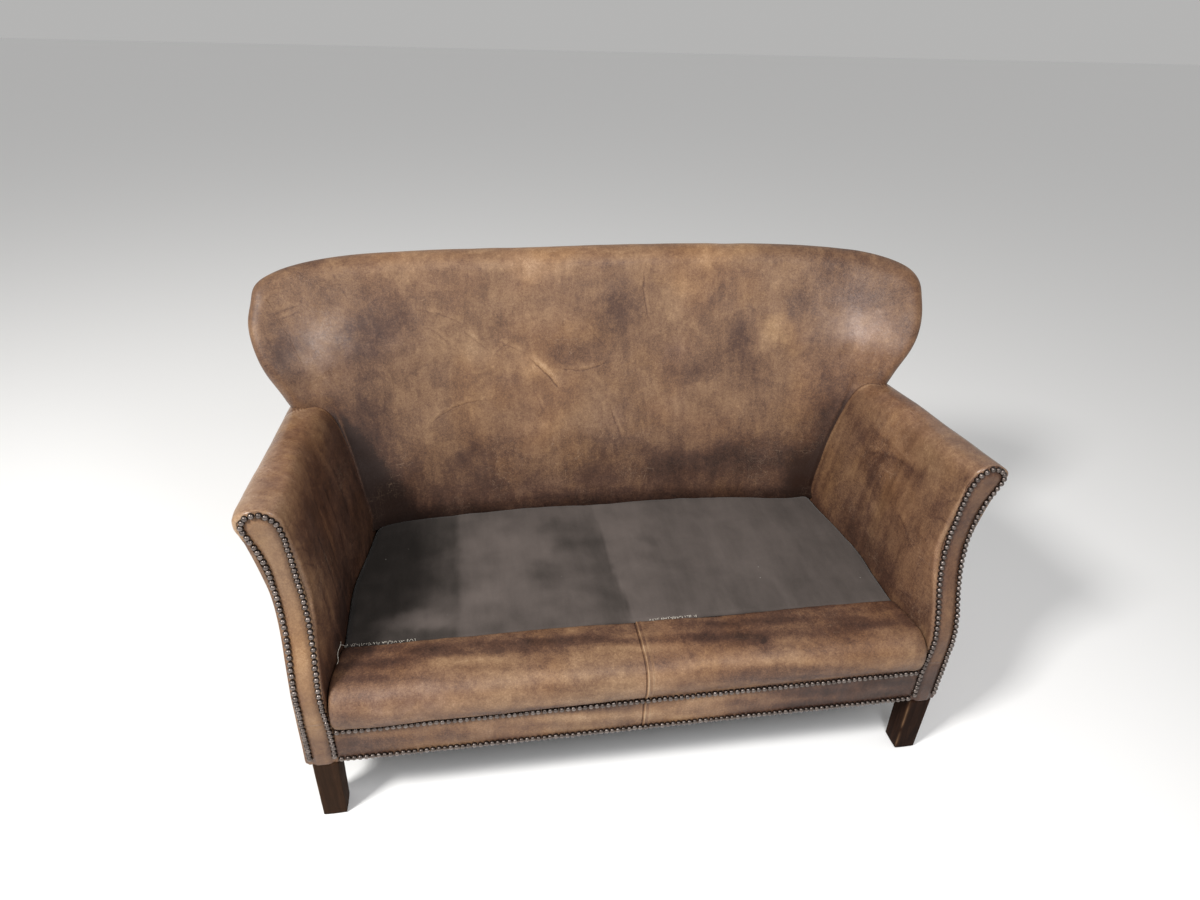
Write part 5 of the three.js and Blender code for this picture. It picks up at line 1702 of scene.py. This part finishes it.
# %% Legs
LEGS = [("leg_front_left", 0.046, 0.048, 0.0, 0.3), ("leg_front_right", 0.045, 0.048, 0.0, 0.9),
        ("leg_back_left", 0.036, 0.044, 0.028, 0.2), ("leg_back_right", 0.036, 0.044, 0.028, 0.2)]
for name, foot, top, rake, wear in LEGS:
    rings = leg_rings(name, foot, top)
    rings[..., 1] += rake * (0.5 - rings[..., 2] / LEG_HEIGHT)
    x, y, z = np.moveaxis(rings, -1, 0)
    arris = bell(x - x.min(axis=1, keepdims=True), 0.0014) * bell(y - y.min(axis=1, keepdims=True), 0.0014)
    worn = wear * np.clip(arris * (0.7 + 0.9 * lattice_noise(rings * (1, 1, 0.5), 0.01, 241)), 0, 1)
    worn = worn + 0.05 * (name == "leg_front_left")
    piece = lofted(name + "_finished", rings, stained, {"worn": worn})
    place(piece, "stained_wood", name)

# %% [markdown]
# ## The hidden construction
# The undercloth is a thin black sheet below the frame, cut back round the legs. It is lofted as strips that
# run from front to back, with close pairs of strips where a cut edge steps.

# %% Undercloth
LEG_GAP = 0.003                  # how far the undercloth stays off a leg


def undercloth_rings():
    """Rings of the undercloth: strips from front to back at stations across, cut back round the legs."""
    low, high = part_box("dust_cover")
    leg_front, leg_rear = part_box("leg_front_right"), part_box("leg_back_right")
    rear_cut, front_cut = leg_rear[0][0] - LEG_GAP, leg_front[0][0] - LEG_GAP
    half = np.array([0.0, 0.15, 0.30, 0.42, rear_cut, rear_cut + 0.001, 0.55, front_cut, front_cut + 0.001,
                     0.61, high[0]])
    across = np.concatenate([-half[:0:-1], half])[:, None]
    size = np.abs(across)
    front = np.where(size > front_cut + 0.0005, leg_front[1][1] + LEG_GAP, low[1])
    rear = back_outer_y(across, UNDER_Z) - 0.009
    rear = np.where(size > rear_cut + 0.0005, np.minimum(rear, leg_rear[0][1] - LEG_GAP), rear)
    rear = np.where(size > 0.615, np.minimum(rear, high[1]), rear)
    top = joined(across, mix(front, rear, np.linspace(0, 1, 6)), high[2])
    return two_walls(top, top - (0, 0, 0.0012))


black_cloth = speckled_material("undercloth", (0.010, 0.010, 0.011, 1), (0.030, 0.030, 0.032, 1), 1200.0,
                                0.95)
undercloth = lofted("undercloth_sheet", undercloth_rings(), black_cloth, sheet=True)
place(undercloth, "undercloth", "dust_cover")

# %% [markdown]
# The frame and the webbing keep their construction shapes and only get materials: bare hardwood and elastic
# webbing.

# %% Materials of the construction nodes
bare_wood = wood_material("bare_hardwood", (0.42, 0.27, 0.14, 1), (0.62, 0.45, 0.26, 1), 0.75)[0]
web = speckled_material("elastic_webbing", (0.020, 0.020, 0.018, 1), (0.060, 0.058, 0.052, 1), 900.0, 0.85)
FINISHES = {"frame_wood": bare_wood, "webbing": web}
for part in frame["record"]["subparts"]:
    if part["material_slot"] in FINISHES:
        built = frame["nodes"][part["node"]]
        built.data.materials.clear()
        built.data.materials.append(FINISHES[part["material_slot"]])
print("materials", len(bpy.data.materials))
